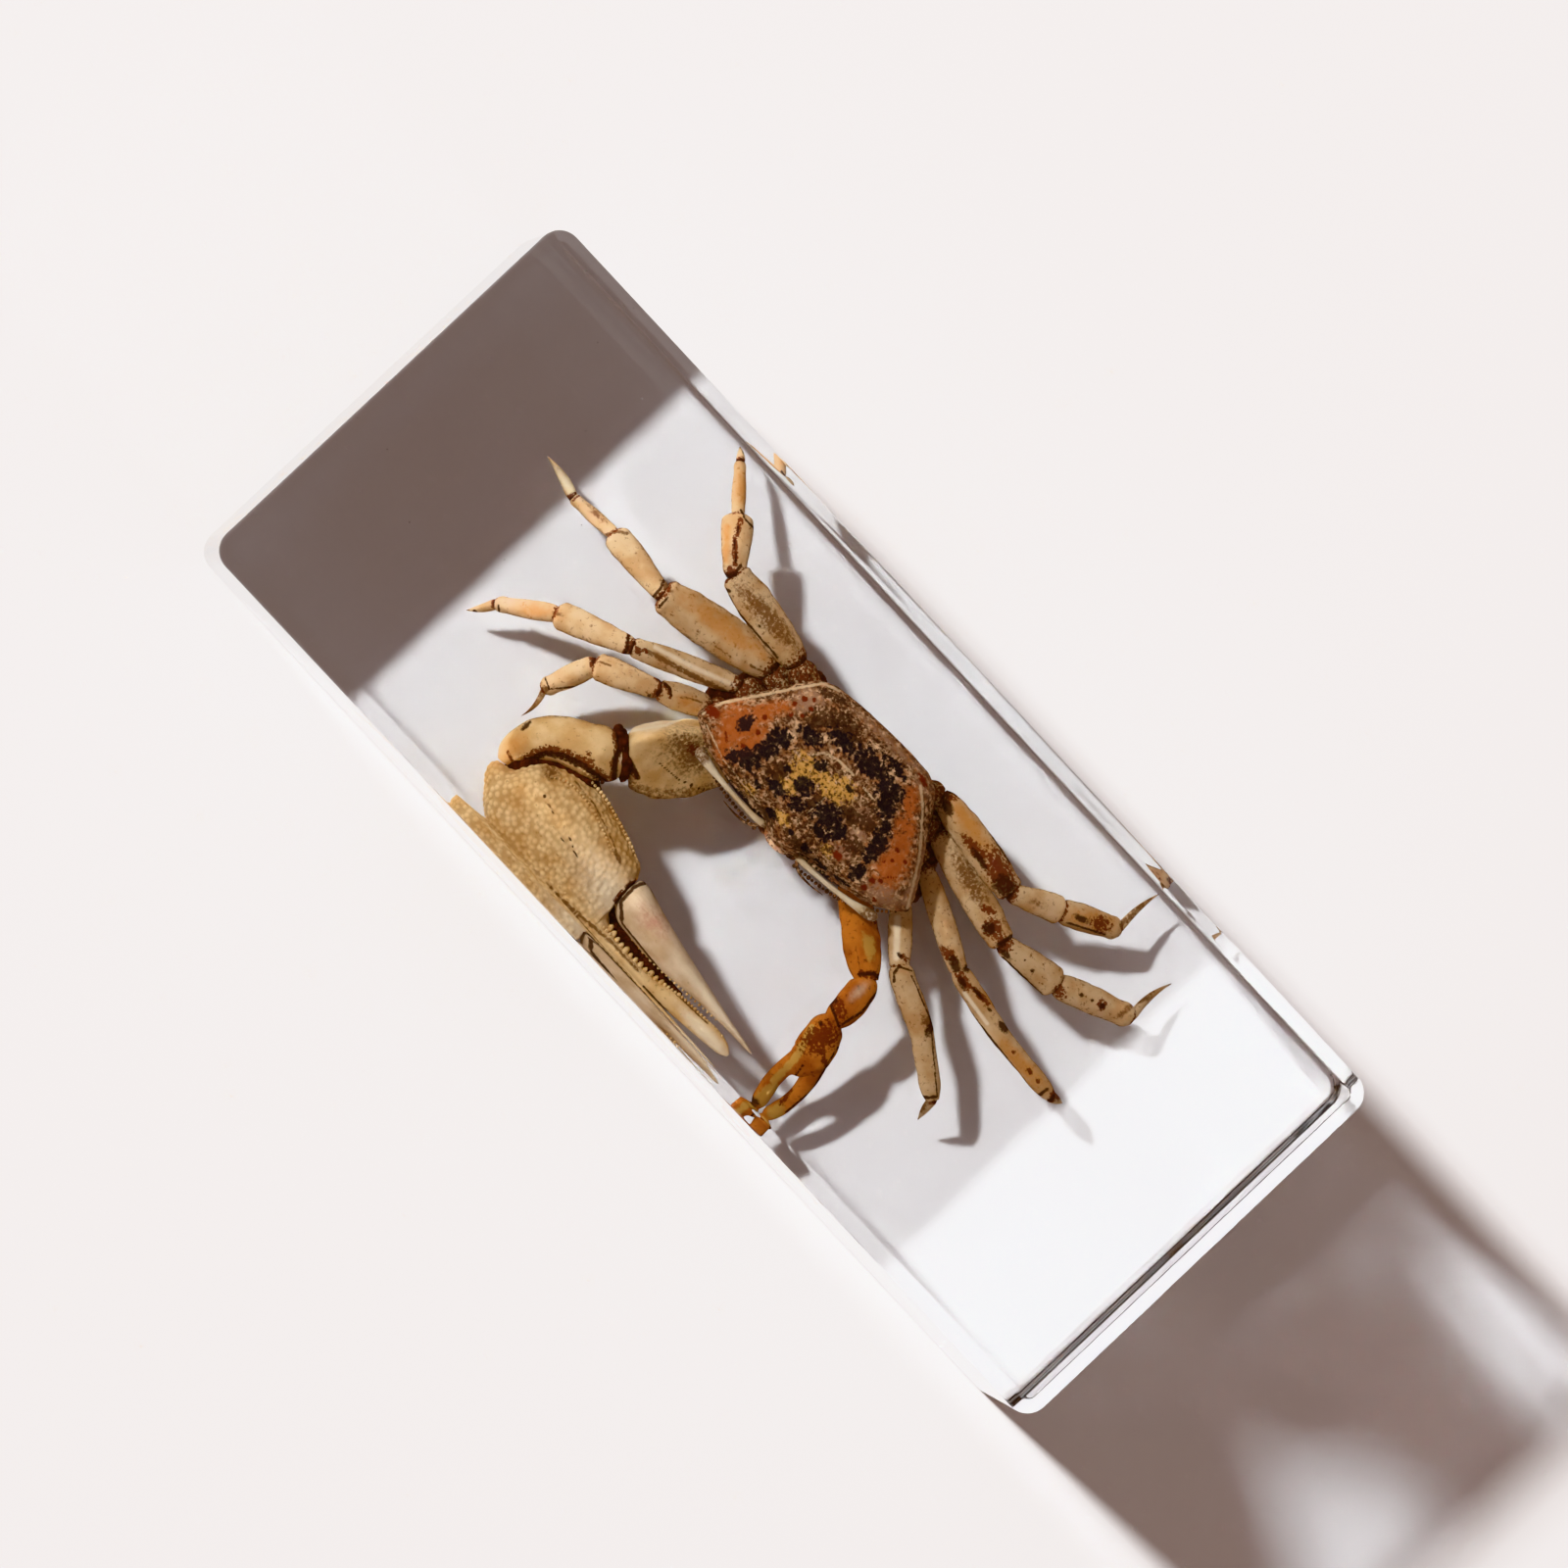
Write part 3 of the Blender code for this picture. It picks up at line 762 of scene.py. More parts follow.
def row_tree() -> bpy.types.NodeTree:
    """Make the tree that sets a row of knobs along a line: beads, or teeth where they are drawn out."""
    tree, given, result = group_inputs("row_of_knobs", {
        "Pitch": "NodeSocketFloat", "Size at Start": "NodeSocketFloat", "Size at End": "NodeSocketFloat",
        "Stretch": "NodeSocketFloat", "Direction": "NodeSocketVector", "Material": "NodeSocketMaterial"})
    line = add(tree, "GeometryNodeMeshToCurve", Mesh=given.outputs["Geometry"])
    even = add(tree, "GeometryNodeResampleCurve", {"mode": "LENGTH"}, Curve=line.outputs[0],
               Length=given.outputs["Pitch"])
    along = add(tree, "GeometryNodeSplineParameter").outputs["Factor"]
    size = add(tree, "ShaderNodeMapRange", Value=along, To_Min=given.outputs["Size at Start"],
               To_Max=given.outputs["Size at End"])
    chance = add(tree, "FunctionNodeRandomValue", {"data_type": "FLOAT"}, in_2=0.75, in_3=1.15, Seed=7)
    varied = add(tree, "ShaderNodeMath", {"operation": "MULTIPLY"}, in_0=size.outputs[0],
                 in_1=chance.outputs[1])
    tall = add(tree, "ShaderNodeMath", {"operation": "MULTIPLY"}, in_0=varied.outputs[0],
               in_1=given.outputs["Stretch"])
    scale = add(tree, "ShaderNodeCombineXYZ", X=varied.outputs[0], Y=varied.outputs[0], Z=tall.outputs[0])
    knob = add(tree, "GeometryNodeMeshIcoSphere", Radius=0.5, Subdivisions=2)
    turned = add(tree, "FunctionNodeAlignRotationToVector", {"axis": "Z"}, Vector=given.outputs["Direction"])
    knobs = add(tree, "GeometryNodeInstanceOnPoints", Points=even.outputs[0], Instance=knob.outputs[0],
                Rotation=turned.outputs[0], Scale=scale.outputs[0])
    finish_tree(tree, knobs.outputs[0], given, result)
    return tree


def bubble_tree() -> bpy.types.NodeTree:
    """Make the tree that scatters small air bubbles in a box. Their faces point into the air."""
    tree, given, result = group_inputs("scattered_bubbles", {
        "Count": "NodeSocketInt", "Lowest": "NodeSocketVector", "Highest": "NodeSocketVector",
        "Size": "NodeSocketFloat", "Material": "NodeSocketMaterial"})
    place = add(tree, "FunctionNodeRandomValue", {"data_type": "FLOAT_VECTOR"}, in_0=given.outputs["Lowest"],
                in_1=given.outputs["Highest"], Seed=11)
    seeds = add(tree, "GeometryNodePoints", Count=given.outputs["Count"], Position=place.outputs[0])
    ball = add(tree, "GeometryNodeMeshIcoSphere", Radius=0.5, Subdivisions=2)
    air = add(tree, "GeometryNodeFlipFaces", Mesh=ball.outputs[0])
    chance = add(tree, "FunctionNodeRandomValue", {"data_type": "FLOAT"}, in_2=0.4, in_3=1.0, Seed=5)
    size = add(tree, "ShaderNodeMath", {"operation": "MULTIPLY"}, in_0=given.outputs["Size"],
               in_1=chance.outputs[1])
    bubbles = add(tree, "GeometryNodeInstanceOnPoints", Points=seeds.outputs[0], Instance=air.outputs[0],
                  Scale=size.outputs[0])
    finish_tree(tree, bubbles.outputs[0], given, result)
    return tree


def grown(piece: bpy.types.Object, tree: bpy.types.NodeTree, **inputs: object) -> bpy.types.Object:
    """Run a Geometry Nodes tree on a piece and keep the result as its plain mesh.

    Args:
        piece: the object that the tree starts from.
        tree: the tree.
        inputs: values by input name, with an underscore for each space.

    Returns:
        The same object, with its new mesh and no modifier.
    """
    modifier = piece.modifiers.new(tree.name, "NODES")
    modifier.node_group = tree
    for item in tree.interface.items_tree:
        key = item.name.replace(" ", "_")
        if item.in_out == "INPUT" and key in inputs:
            modifier[item.identifier] = inputs[key]
    evaluated = piece.evaluated_get(bpy.context.evaluated_depsgraph_get())
    mesh = bpy.data.meshes.new_from_object(evaluated)
    piece.modifiers.remove(modifier)
    old, piece.data = piece.data, mesh
    bpy.data.meshes.remove(old)
    mesh.name = piece.name
    return piece


@dataclass
class Workshop:
    """What every sub-assembly shares: the materials and the Geometry Nodes trees."""

    leg: bpy.types.Material
    claw: bpy.types.Material
    finger: bpy.types.Material
    small_claw: bpy.types.Material
    carapace: bpy.types.Material
    eyestalk: bpy.types.Material
    skin: bpy.types.Material
    resin: bpy.types.Material
    pebbles: bpy.types.NodeTree
    row: bpy.types.NodeTree
    bubbles: bpy.types.NodeTree

    @classmethod
    def opened(cls) -> "Workshop":
        """Make every material and tree once."""
        return cls(LEG_SHELL.build(), CLAW_SHELL.build(), FINGER_SHELL.build(), SMALL_CLAW_SHELL.build(),
                   CARAPACE_SHELL.build(), EYESTALK_SHELL.build(), JOINT_SKIN.build(), CastResin().build(),
                   pebble_tree(), row_tree(), bubble_tree())


def place_piece(piece: bpy.types.Object, slot: str, *nodes: str) -> bpy.types.Object:
    """Tie a finished piece to the frame.

    Args:
        piece: the finished piece.
        slot: the record's material slot; not used.
        nodes: the CAD nodes that it stands for, if any.

    Returns:
        The piece.
    """
    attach(piece, "root")
    if nodes:
        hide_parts(*nodes)
    LOG.info("%s: %d faces, stands for %s", piece.name, len(piece.data.polygons),
             ", ".join(nodes) or "no solid")
    return piece


def dressed(name: str, shell: Shell, material: bpy.types.Material) -> bpy.types.Object:
    """Make a piece from a shell and give it one material."""
    piece = make_mesh(name, shell)
    piece.data.materials.append(material)
    return piece


def pebble(piece: bpy.types.Object, shop: Workshop, mask: np.ndarray, spacing: float, height: float) -> None:
    """Raise a piece's surface in pebbles, with painted shade in the hollows between them.

    Args:
        piece: a piece with one material.
        shop: the shared trees.
        mask: how far the pebbles rise at each point, from 0 to 1.
        spacing: the least distance between pebbles, in millimetres.
        height: their full height, in millimetres.
    """
    store(piece.data, "pebbled", mask)
    grown(piece, shop.pebbles, Spacing=spacing * MM, Height=height * MM, Material=piece.data.materials[0])


def crust(name: str, slot: str, lines: tuple, shop: Workshop) -> bpy.types.Object:
    """Lay dried, grainy joint skin along some lines of stations, as one piece.

    Args:
        name: the piece's name.
        slot: the record's material slot.
        lines: stations of each line.
        shop: the shared materials and trees.

    Returns:
        The piece.
    """
    shell = merged([limb(line, sides=28, spacing=0.14) for line in lines])
    piece = dressed(name, shell, shop.skin)
    pebble(piece, shop, np.ones(len(shell.points)), spacing=0.5, height=0.16)
    return place_piece(piece, slot)


def knob_row(name: str, points: tuple[tuple[float, float, float], ...], shop: Workshop,
             material: bpy.types.Material, marks: tuple[Spot | Streak, ...] = (), **inputs: object
             ) -> bpy.types.Object:
    """Set beads or teeth along a smooth line.

    Args:
        name: the piece's name.
        points: the line, in millimetres.
        shop: the shared trees.
        material: the knobs' material.
        marks: colour marks that reach the knobs.
        inputs: the row tree's inputs.

    Returns:
        The piece.
    """
    rows = np.array(points)
    places = lengths_along(rows)
    smooth = smooth_through(places, rows, np.linspace(0, places[-1], 40))
    line = Shell(smooth, [])
    line.paint(marks)
    mesh = bpy.data.meshes.new(name)
    mesh.from_pydata((smooth * MM).tolist(), [(i, i + 1) for i in range(len(smooth) - 1)], [])
    for tint in Tint:
        store(mesh, tint.value, line.tints.get(tint.value, np.zeros(len(smooth))))
    piece = bpy.data.objects.new(name, mesh)
    bpy.context.scene.collection.objects.link(piece)
    return grown(piece, shop.row, Material=material, **inputs)


@dataclass
class ResinBlock:
    """The clear casting: a long slab with round upright corners, a chamfer round its top and soft edges."""

    corner_radius: float = 2.2
    top_chamfer: float = 1.3
    bottom_chamfer: float = 0.5
    # How far the level faces run inwards in the profile that is rounded
    landing: float = 0.5
    edge_radius: float = 0.6
    corner_steps: int = 20
    edge_steps: int = 4
    support: float = 0.12
    bubble_size: float = 0.16
    bubble_count: int = 7
    # The box of the bubbles' places
    bubbles_lowest: tuple[float, float, float] = (-52, -15, 6)
    bubbles_highest: tuple[float, float, float] = (-30, 20, 24)

    def edge_profile(self) -> list[tuple[float, float]]:
        """Give the block's upright profile as insets and heights, with each edge rounded off.

        Returns:
            Inset and height of each point, from the underside up.
        """
        corners = [
            (self.bottom_chamfer + self.landing, 0.0), (self.bottom_chamfer, 0.0), (0.0, self.bottom_chamfer),
            (0.0, BLOCK_HEIGHT - self.top_chamfer), (self.top_chamfer, BLOCK_HEIGHT),
            (self.top_chamfer + self.landing, BLOCK_HEIGHT),
        ]
        profile = []
        for before, corner, after in zip(corners, corners[1:], corners[2:]):
            here = Vector(corner)
            back, ahead = (Vector(before) - here).normalized(), (Vector(after) - here).normalized()
            reach = self.edge_radius * math.tan((math.pi - back.angle(ahead)) / 2)
            start, end = here + back * reach, here + ahead * reach
            profile.append(start + back * self.support)
            for step in range(self.edge_steps + 1):
                t = step / self.edge_steps
                profile.append(start * (1 - t) ** 2 + here * 2 * t * (1 - t) + end * t ** 2)
            profile.append(end + ahead * self.support)
        return [tuple(point) for point in profile]

    def ring(self, inset: float, height: float) -> list[tuple[float, float, float]]:
        """Give a level ring with round corners, and support points at each straight side's ends.

        Args:
            inset: how far the ring lies inside the block's outline.
            height: its height.

        Returns:
            The ring's points.
        """
        half_length = CAD_BOUNDS[1][0] / MM - self.corner_radius
        half_width = CAD_BOUNDS[1][1] / MM - self.corner_radius
        radius = self.corner_radius - inset
        points = []
        for quarter, (sx, sy) in enumerate(((1, 1), (-1, 1), (-1, -1), (1, -1))):
            turns = [math.pi / 2 * (quarter + step / self.corner_steps)
                     for step in range(self.corner_steps + 1)]
            arc = [(sx * half_length + math.cos(t) * radius, sy * half_width + math.sin(t) * radius)
                   for t in turns]
            before = Vector((math.sin(turns[0]), -math.cos(turns[0]))) * self.support * 3
            after = Vector((-math.sin(turns[-1]), math.cos(turns[-1]))) * self.support * 3
            points += [Vector(arc[0]) + before, *arc, Vector(arc[-1]) + after]
        return [(x, y, height) for x, y in points]

    def build(self, shop: Workshop) -> bpy.types.Object:
        """Make the block and its bubbles as one see-through piece.

        Args:
            shop: the shared materials and trees.

        Returns:
            The piece.
        """
        rings = [self.ring(inset, height) for inset, height in self.edge_profile()]
        sides = len(rings[0])
        points = np.array(rings).reshape(-1, 3)
        faces = bands(len(rings), sides)
        faces.append(tuple(reversed(range(sides))))
        faces.append(tuple(range((len(rings) - 1) * sides, len(rings) * sides)))
        bm = bmesh.new()
        block = make_mesh("resin_block", Shell(points, faces))
        bm.from_mesh(block.data)
        bm.from_mesh(self.bubbles(shop))
        for tint in Tint:
            bm.verts.layers.float.remove(bm.verts.layers.float.get(tint.value))
        bm.to_mesh(block.data)
        bm.free()
        block.data.shade_smooth()
        block.data.materials.clear()
        block.data.materials.append(shop.resin)
        return place_piece(block, "clear_resin", "resin_lower_half", "resin_upper_half")

    def bubbles(self, shop: Workshop) -> bpy.types.Mesh:
        """Scatter a few tiny bubbles through the end of the block that the crab leaves empty.

        Args:
            shop: the shared materials and trees.

        Returns:
            The bubbles' mesh.
        """
        seed = bpy.data.objects.new("bubbles", bpy.data.meshes.new("bubbles"))
        bpy.context.scene.collection.objects.link(seed)
        grown(seed, shop.bubbles, Material=shop.resin, Count=self.bubble_count, Size=self.bubble_size * MM,
              Lowest=Vector(self.bubbles_lowest) * MM, Highest=Vector(self.bubbles_highest) * MM)
        mesh = seed.data
        bpy.data.objects.remove(seed)
        return mesh


@dataclass
class CrabBody:
    """The carapace with its side walls and underside, the eyes in their grooves and the mouthparts."""

    # Half of the carapace's edge from the front lobe round the right side to the back
    outline: tuple[tuple[float, float], ...] = (
        (0.0, -7.5), (0.9, -7.4), (1.6, -7.0), (2.2, -6.4), (3.2, -6.15), (6.5, -6.0), (9.2, -5.75),
        (10.7, -5.25), (12.0, -4.5), (13.3, -3.6), (13.0, -2.4), (12.4, -1.3), (10.8, 1.3), (8.9, 4.4),
        (7.4, 6.5), (5.8, 7.3), (3.0, 7.55), (0.0, 7.6),
    )
    # Height, share of the outline at the sides and back, the same at the front, and share of the brow's reach
    levels: tuple[tuple[float, float, float, float], ...] = (
        (7.5, 0.30, 0.30, 0.0), (7.7, 0.45, 0.45, 0.0), (8.3, 0.60, 0.62, 0.0), (9.6, 0.74, 0.74, 0.1),
        (12.2, 0.86, 0.83, 0.4), (13.3, 0.90, 0.86, 0.8), (13.9, 0.92, 0.90, 1.0), (14.25, 0.93, 0.92, 1.0),
        (14.5, 0.94, 0.89, 0.5), (14.8, 0.95, 0.86, 0.0), (15.2, 0.97, 0.92, 0.0), (15.45, 0.99, 0.99, 0.0),
        (15.6, 1.00, 1.00, 0.0), (15.9, 0.995, 0.99, 0.0), (16.5, 0.965, 0.965, 0.0), (17.1, 0.92, 0.92, 0.0),
        (17.55, 0.87, 0.87, 0.0), (17.8, 0.82, 0.82, 0.0), (18.3, 0.68, 0.68, 0.0), (18.7, 0.45, 0.45, 0.0),
        (18.9, 0.2, 0.2, 0.0), (18.95, 0.01, 0.01, 0.0),
    )
    brow_reach: float = 1.1
    brow_half_width: float = 11.2
    ring_points: int = 360
    level_spacing: float = 0.16
    groove_depth: float = 0.22
    # The left half stands out a little further than the right one
    left_share: float = 1.055
    # The flank is browned below this height, over this fade
    flank_height: float = 13.6
    flank_fade: float = 1.5
    # The shell is pebbled above this height
    pebbles_from: float = 15.0
    pebble_spacing: float = 0.55
    pebble_height: float = 0.05
    marks: tuple[Spot | Streak, ...] = (
        *spots(Tint.UMBER, (-1.5, 4.0, 8.5, 4.4, 0, 0.5), (4.0, 7.0, 6.5, 4.0, 20, 0.5),
               (3.0, 0.5, 7.5, 2.4, 4, 0.56), (-6.0, -0.8, 5.5, 1.6, 0, 0.54),
               (0.5, 10.9, 8.0, 1.0, 4, 0.48), (-3.4, 9.4, 2.2, 1.2), (-5.6, 8.0, 1.2, 1.4),
               (4.6, 5.0, 1.3, 1.0), (3.0, 4.2, 1.2, 0.8), (5.2, 2.4, 1.4, 0.8), (-4.6, 1.8, 1.0, 1.6),
               (1.5, -1.2, 1.6, 0.6), (-2.4, -1.4, 1.0, 0.7), (-6.2, 10.6, 1.6, 0.5, 20, 0.9),
               (-0.4, 2.3, 0.6, 1.2)),
        Streak(Tint.ROSE, 1.1, ((9.6, 8.4), (11.6, 5.2), (12.4, 2.6)), 0.75),
        *spots(Tint.RUST, (4.5, 1.5, 5.0, 2.4, 0, 0.42), (-9.5, 2.5, 2.6, 2.4, 0, 0.4),
               (-8.6, 1.3, 0.3, 0.25), (-8.6, 3.2, 0.3, 0.25), (-9.2, 4.6, 0.25, 0.25),
               (-12.9, 1.4, 0.8, 0.6), (4.9, 0.8, 0.55, 0.4), (8.3, 5.2, 0.26, 0.24), (8.7, 4.2, 0.22, 0.2),
               (9.6, 5.0, 0.26, 0.22), (8.2, 3.6, 0.2, 0.2), (8.8, 1.6, 0.35, 0.3), (9.3, 2.1, 0.3, 0.2),
               (8.7, 0.6, 0.3, 0.3), (10.2, 0.5, 0.25, 0.2), (-7.9, 8.5, 0.28, 0.28),
               (-8.2, 7.5, 0.26, 0.26), (-7.7, 6.6, 0.24, 0.22), (-6.8, 8.3, 0.26, 0.22),
               (-7.2, 9.1, 0.22, 0.2), (-6.9, 7.3, 0.22, 0.2), (5.2, 11.4, 0.9, 0.3, -15, 0.9)),
        *spots(Tint.SOOT, (0.0, 9.0, 7.0, 1.9, 3, 0.54), (-1.0, 3.5, 6.0, 3.5, 0, 0.4),
               (-6.7, 4.4, 1.3, 0.9, 20), (-6.9, 2.6, 0.95, 1.7), (-7.5, 0.7, 1.7, 1.0, 25),
               (-8.6, -0.1, 0.8, 0.6), (-5.0, 6.5, 1.3, 0.8, 10), (-2.5, 8.3, 1.9, 0.7),
               (0.8, 8.9, 2.6, 1.1), (3.9, 8.4, 1.4, 1.3), (4.7, 7.2, 1.1, 1.0),
               (2.6, 10.4, 2.0, 0.6, 0, 0.85), (5.9, 6.1, 0.5, 0.6), (-2.3, 5.4, 0.75, 0.55, 20),
               (-3.6, 0.9, 1.3, 0.7), (-2.0, 2.9, 1.0, 0.9), (-1.2, 1.3, 0.8, 0.8), (-4.3, 2.9, 0.35, 0.35),
               (1.6, 2.6, 1.6, 1.3), (3.2, 2.2, 1.0, 0.8), (2.2, 1.1, 1.1, 0.5), (6.8, 3.9, 0.85, 1.9, 5),
               (7.2, 1.2, 0.8, 0.9), (6.0, 5.3, 0.6, 0.6), (-10.0, 3.0, 0.65, 1.0), (-5.2, -0.2, 0.5, 0.35),
               (-2.3, -1.0, 0.6, 0.5), (0.3, -0.9, 0.35, 0.3), (2.4, -0.9, 0.6, 0.4), (4.4, -0.9, 0.8, 0.3),
               (1.1, 5.8, 0.5, 0.3), (6.8, -0.5, 0.8, 0.25, 10)),
        # Painted shade in the grooves under the eyestalks: dark bands that show on each side of each stalk
        *streaks(Tint.SOOT, (1.15, ((-11.7, -1.9), (-7.0, -2.35), (-2.6, -2.4)), 0.95),
                 (1.15, ((3.0, -2.1), (7.5, -1.6), (11.8, -0.6)), 0.95)),
        *spots(Tint.AMBER, (-10.2, 2.3, 2.0, 2.2, 20), (-9.6, 4.6, 1.3, 0.9, 50),
               (-9.6, -0.3, 1.3, 0.8, -40), (-8.2, 2.0, 0.7, 2.2), (9.0, 3.9, 1.5, 2.3, 20),
               (7.6, 6.7, 1.0, 2.2, 38), (6.0, 9.0, 0.7, 1.7, 40), (-9.0, 6.2, 0.7, 1.8, -42, 0.8)),
        *spots(Tint.OCHRE, (-1.6, 4.6, 2.8, 0.9), (-3.1, 3.6, 1.3, 0.9), (-3.1, 1.8, 0.9, 0.6),
               (0.7, 5.4, 1.3, 0.9), (-1.3, -0.6, 0.8, 0.5), (0.8, 4.3, 1.0, 0.5),
               (3.9, 0.4, 0.9, 0.6, 0, 0.8), (-5.4, -1.0, 0.9, 0.5, 0, 0.8)),
        *spots(Tint.ROSE, (-7.4, 8.6, 1.5, 1.3, 40, 0.8), (10.2, 1.3, 2.2, 1.0, 15, 0.75),
               (0.5, 11.5, 6.0, 0.55, 4, 0.6), (5.6, 11.0, 1.4, 0.7, -10, 0.6), (4.9, 1.4, 0.8, 0.8),
               (4.9, 3.1, 0.7, 0.9), (3.9, 5.2, 0.8, 0.7)),
        *streaks(Tint.PALE, (0.22, ((-3.6, 5.4), (-3.0, 6.4), (-1.6, 6.9), (0.4, 7.0))),
                 (0.20, ((1.9, 6.9), (3.3, 6.8))), (0.16, ((0.1, 3.6), (0.0, 1.4))),
                 (0.24, ((-6.2, 11.4), (-7.8, 10.7), (-9.4, 8.2), (-12.9, 2.6), (-13.4, 0.6))),
                 (0.24, ((5.4, 10.9), (7.0, 9.7), (10.3, 6.2), (12.9, 2.2))),
                 (0.16, ((-12.4, 0.2), (-9.0, -0.9), (-3.6, -1.2)), 0.8)),
        *streaks(Tint.UMBER, (0.7, ((8.4, 9.6), (11.4, 6.2), (12.6, 4.6)), 0.85),
                 (0.45, ((-9.4, 9.6), (-11.8, 6.2)), 0.8)),
        *streaks(Tint.RUST, (0.22, ((-10.8, 1.0), (-10.0, 0.5))), (0.16, ((9.2, 2.5), (10.1, 3.4)))),
    )

    def edge(self) -> np.ndarray:
        """Give the whole carapace edge, evenly spaced, with its corners a little eased.

        Returns:
            x and y of each point, in the body's own frame.
        """
        right = np.array(self.outline)
        left = right[-2:0:-1] * (-1, 1)
        loop = np.concatenate([right, left, right[:1]])
        places = lengths_along(loop)
        wanted = np.linspace(0, places[-1], self.ring_points, endpoint=False)
        even = np.stack([np.interp(wanted, places, loop[:, axis]) for axis in (0, 1)], axis=1)
        for _ in range(3):
            even = (np.roll(even, 1, axis=0) + 2 * even + np.roll(even, -1, axis=0)) / 4
        return even

    def shell(self) -> Shell:
        """Close the body from the underside to the crown of the carapace, with its grooves and ridges.

        Returns:
            The closed shell, in the block's frame.
        """
        edge = self.edge()
        rows = np.array(self.levels)
        # A share of the outline moves a point by about 9 mm
        reach = np.hypot(np.diff(rows[:, 0]), np.diff(rows[:, 1]) * 9)
        places = np.concatenate([[0.0], np.cumsum(reach)])
        wanted = np.linspace(0, places[-1], round(places[-1] / self.level_spacing))
        fine = np.stack([np.interp(wanted, places, rows[:, axis]) for axis in range(4)], axis=1)
        for _ in range(4):
            fine[1:-1] = (fine[:-2] + 2 * fine[1:-1] + fine[2:]) / 4
        front = np.clip((-edge[:, 1] - 3.2) / 1.6, 0, 1)[None]
        side = fine[:, 1:2] * (1 - front) + fine[:, 2:3] * front
        x, y = edge[:, 0] * side, edge[:, 1] * side
        x = np.where(x < 0, x * self.left_share, x)
        spread = np.clip(1 - (np.abs(edge[:, 0]) / self.brow_half_width) ** 4, 0, 1)
        y = y - fine[:, 3:4] * self.brow_reach * spread * np.where(edge[:, 1] < -3.5, 1, 0)
        z = np.repeat(fine[:, :1], len(edge), axis=1)
        z = z + self.relief(x, y) * np.clip((z - 16.2) / 1.2, 0, 1)
        return loft(to_block(np.stack([x, y, z], axis=2)))

    def relief(self, x: np.ndarray, y: np.ndarray) -> np.ndarray:
        """Give the depth of the grooves between the carapace's regions, and the height of its lumps.

        Args:
            x: places across the body.
            y: places along it.

        Returns:
            One height for each place.
        """
        def trough(distance: np.ndarray, width: float) -> np.ndarray:
            """Give a smooth trough's share, 1 at its middle."""
            return np.exp(-(distance / width) ** 2)

        neck = trough(np.abs(x) - 3.6 - 0.35 * (y + 1.0), 0.7) * trough(np.minimum(y + 0.6, 0), 2.2)
        neck = neck * trough(np.maximum(y - 1.2, 0), 1.0)
        cross = trough(y - 1.5 - 0.06 * x ** 2, 0.6) * trough(np.maximum(np.abs(x) - 3.2, 0), 0.9)
        heart = trough(np.abs(x) - 2.7, 0.55) * trough(np.maximum(np.abs(y - 3.6) - 1.7, 0), 0.8)
        middle = trough(x, 0.28) * trough(np.maximum(y + 2.6, 0), 1.4)
        rear = trough(y - 6.7, 0.35)
        lumps = 0.10 * np.sin(1.15 * x + 0.6) * np.cos(1.05 * y) + 0.05 * np.sin(2.7 * x - 1.1 * y)
        return lumps - self.groove_depth * (neck + cross + 0.8 * heart + 0.5 * middle + 0.7 * rear)

    def build(self, shop: Workshop) -> None:
        """Make the body, its eyestalks, its crests and its mouthparts.

        Args:
            shop: the shared materials and trees.
        """
        shell = self.shell()
        shell.paint(self.marks)
        height = shell.points[:, 2]
        shell.raise_tint(Tint.UMBER, 0.75 * np.clip((self.flank_height - height) / self.flank_fade, 0, 0.9))
        body = dressed("crab_carapace", shell, shop.carapace)
        pebble(body, shop, np.clip(height - self.pebbles_from, 0, 1), self.pebble_spacing, self.pebble_height)
        place_piece(body, "carapace", "crab_body")
        self.build_eyes(shop)
        self.build_mouth(shop)
        self.build_underside(shop)
        self.build_crests(shop)

    def build_eyes(self, shop: Workshop) -> None:
        """Make the two long eyestalks, folded out into their grooves, each with its blunt eye.

        Args:
            shop: the shared materials and trees.
        """
        stalk = (
            ((1.8, -6.75, 14.6), 0.4, 0.4), ((2.3, -6.8, 14.65), 0.66, 0.66),
            ((3.0, -6.85, 14.75), 0.62, 0.62), ((5.0, -6.8, 14.85), 0.5, 0.5),
            ((7.5, -6.6, 14.85), 0.54, 0.54), ((9.4, -6.35, 14.85), 0.8, 0.78),
            ((10.4, -6.15, 14.85), 1.08, 1.05), ((11.1, -6.0, 14.82), 1.05, 1.0),
            ((11.5, -5.92, 14.8), 0.6, 0.6), ((11.6, -5.9, 14.8), 0.25, 0.25),
        )
        for side, sign in (("left", -1), ("right", 1)):
            rows = tuple(((sign * x, y, z), width, height) for (x, y, z), width, height in stalk)
            shell = limb(rows, sides=28, spacing=0.12)
            away = np.abs(shell.points[:, 0])
            # The blunt eye at the outer end and the foot at the inner end are brown
            shell.raise_tint(Tint.UMBER, 0.62 * np.clip((away - 9.2) / 1.2, 0, 1))
            shell.raise_tint(Tint.UMBER, 0.8 * np.clip((2.6 - away) / 0.6, 0, 1))
            shell.points = to_block(shell.points)
            place_piece(dressed(f"eyestalk_{side}", shell, shop.eyestalk), "carapace")

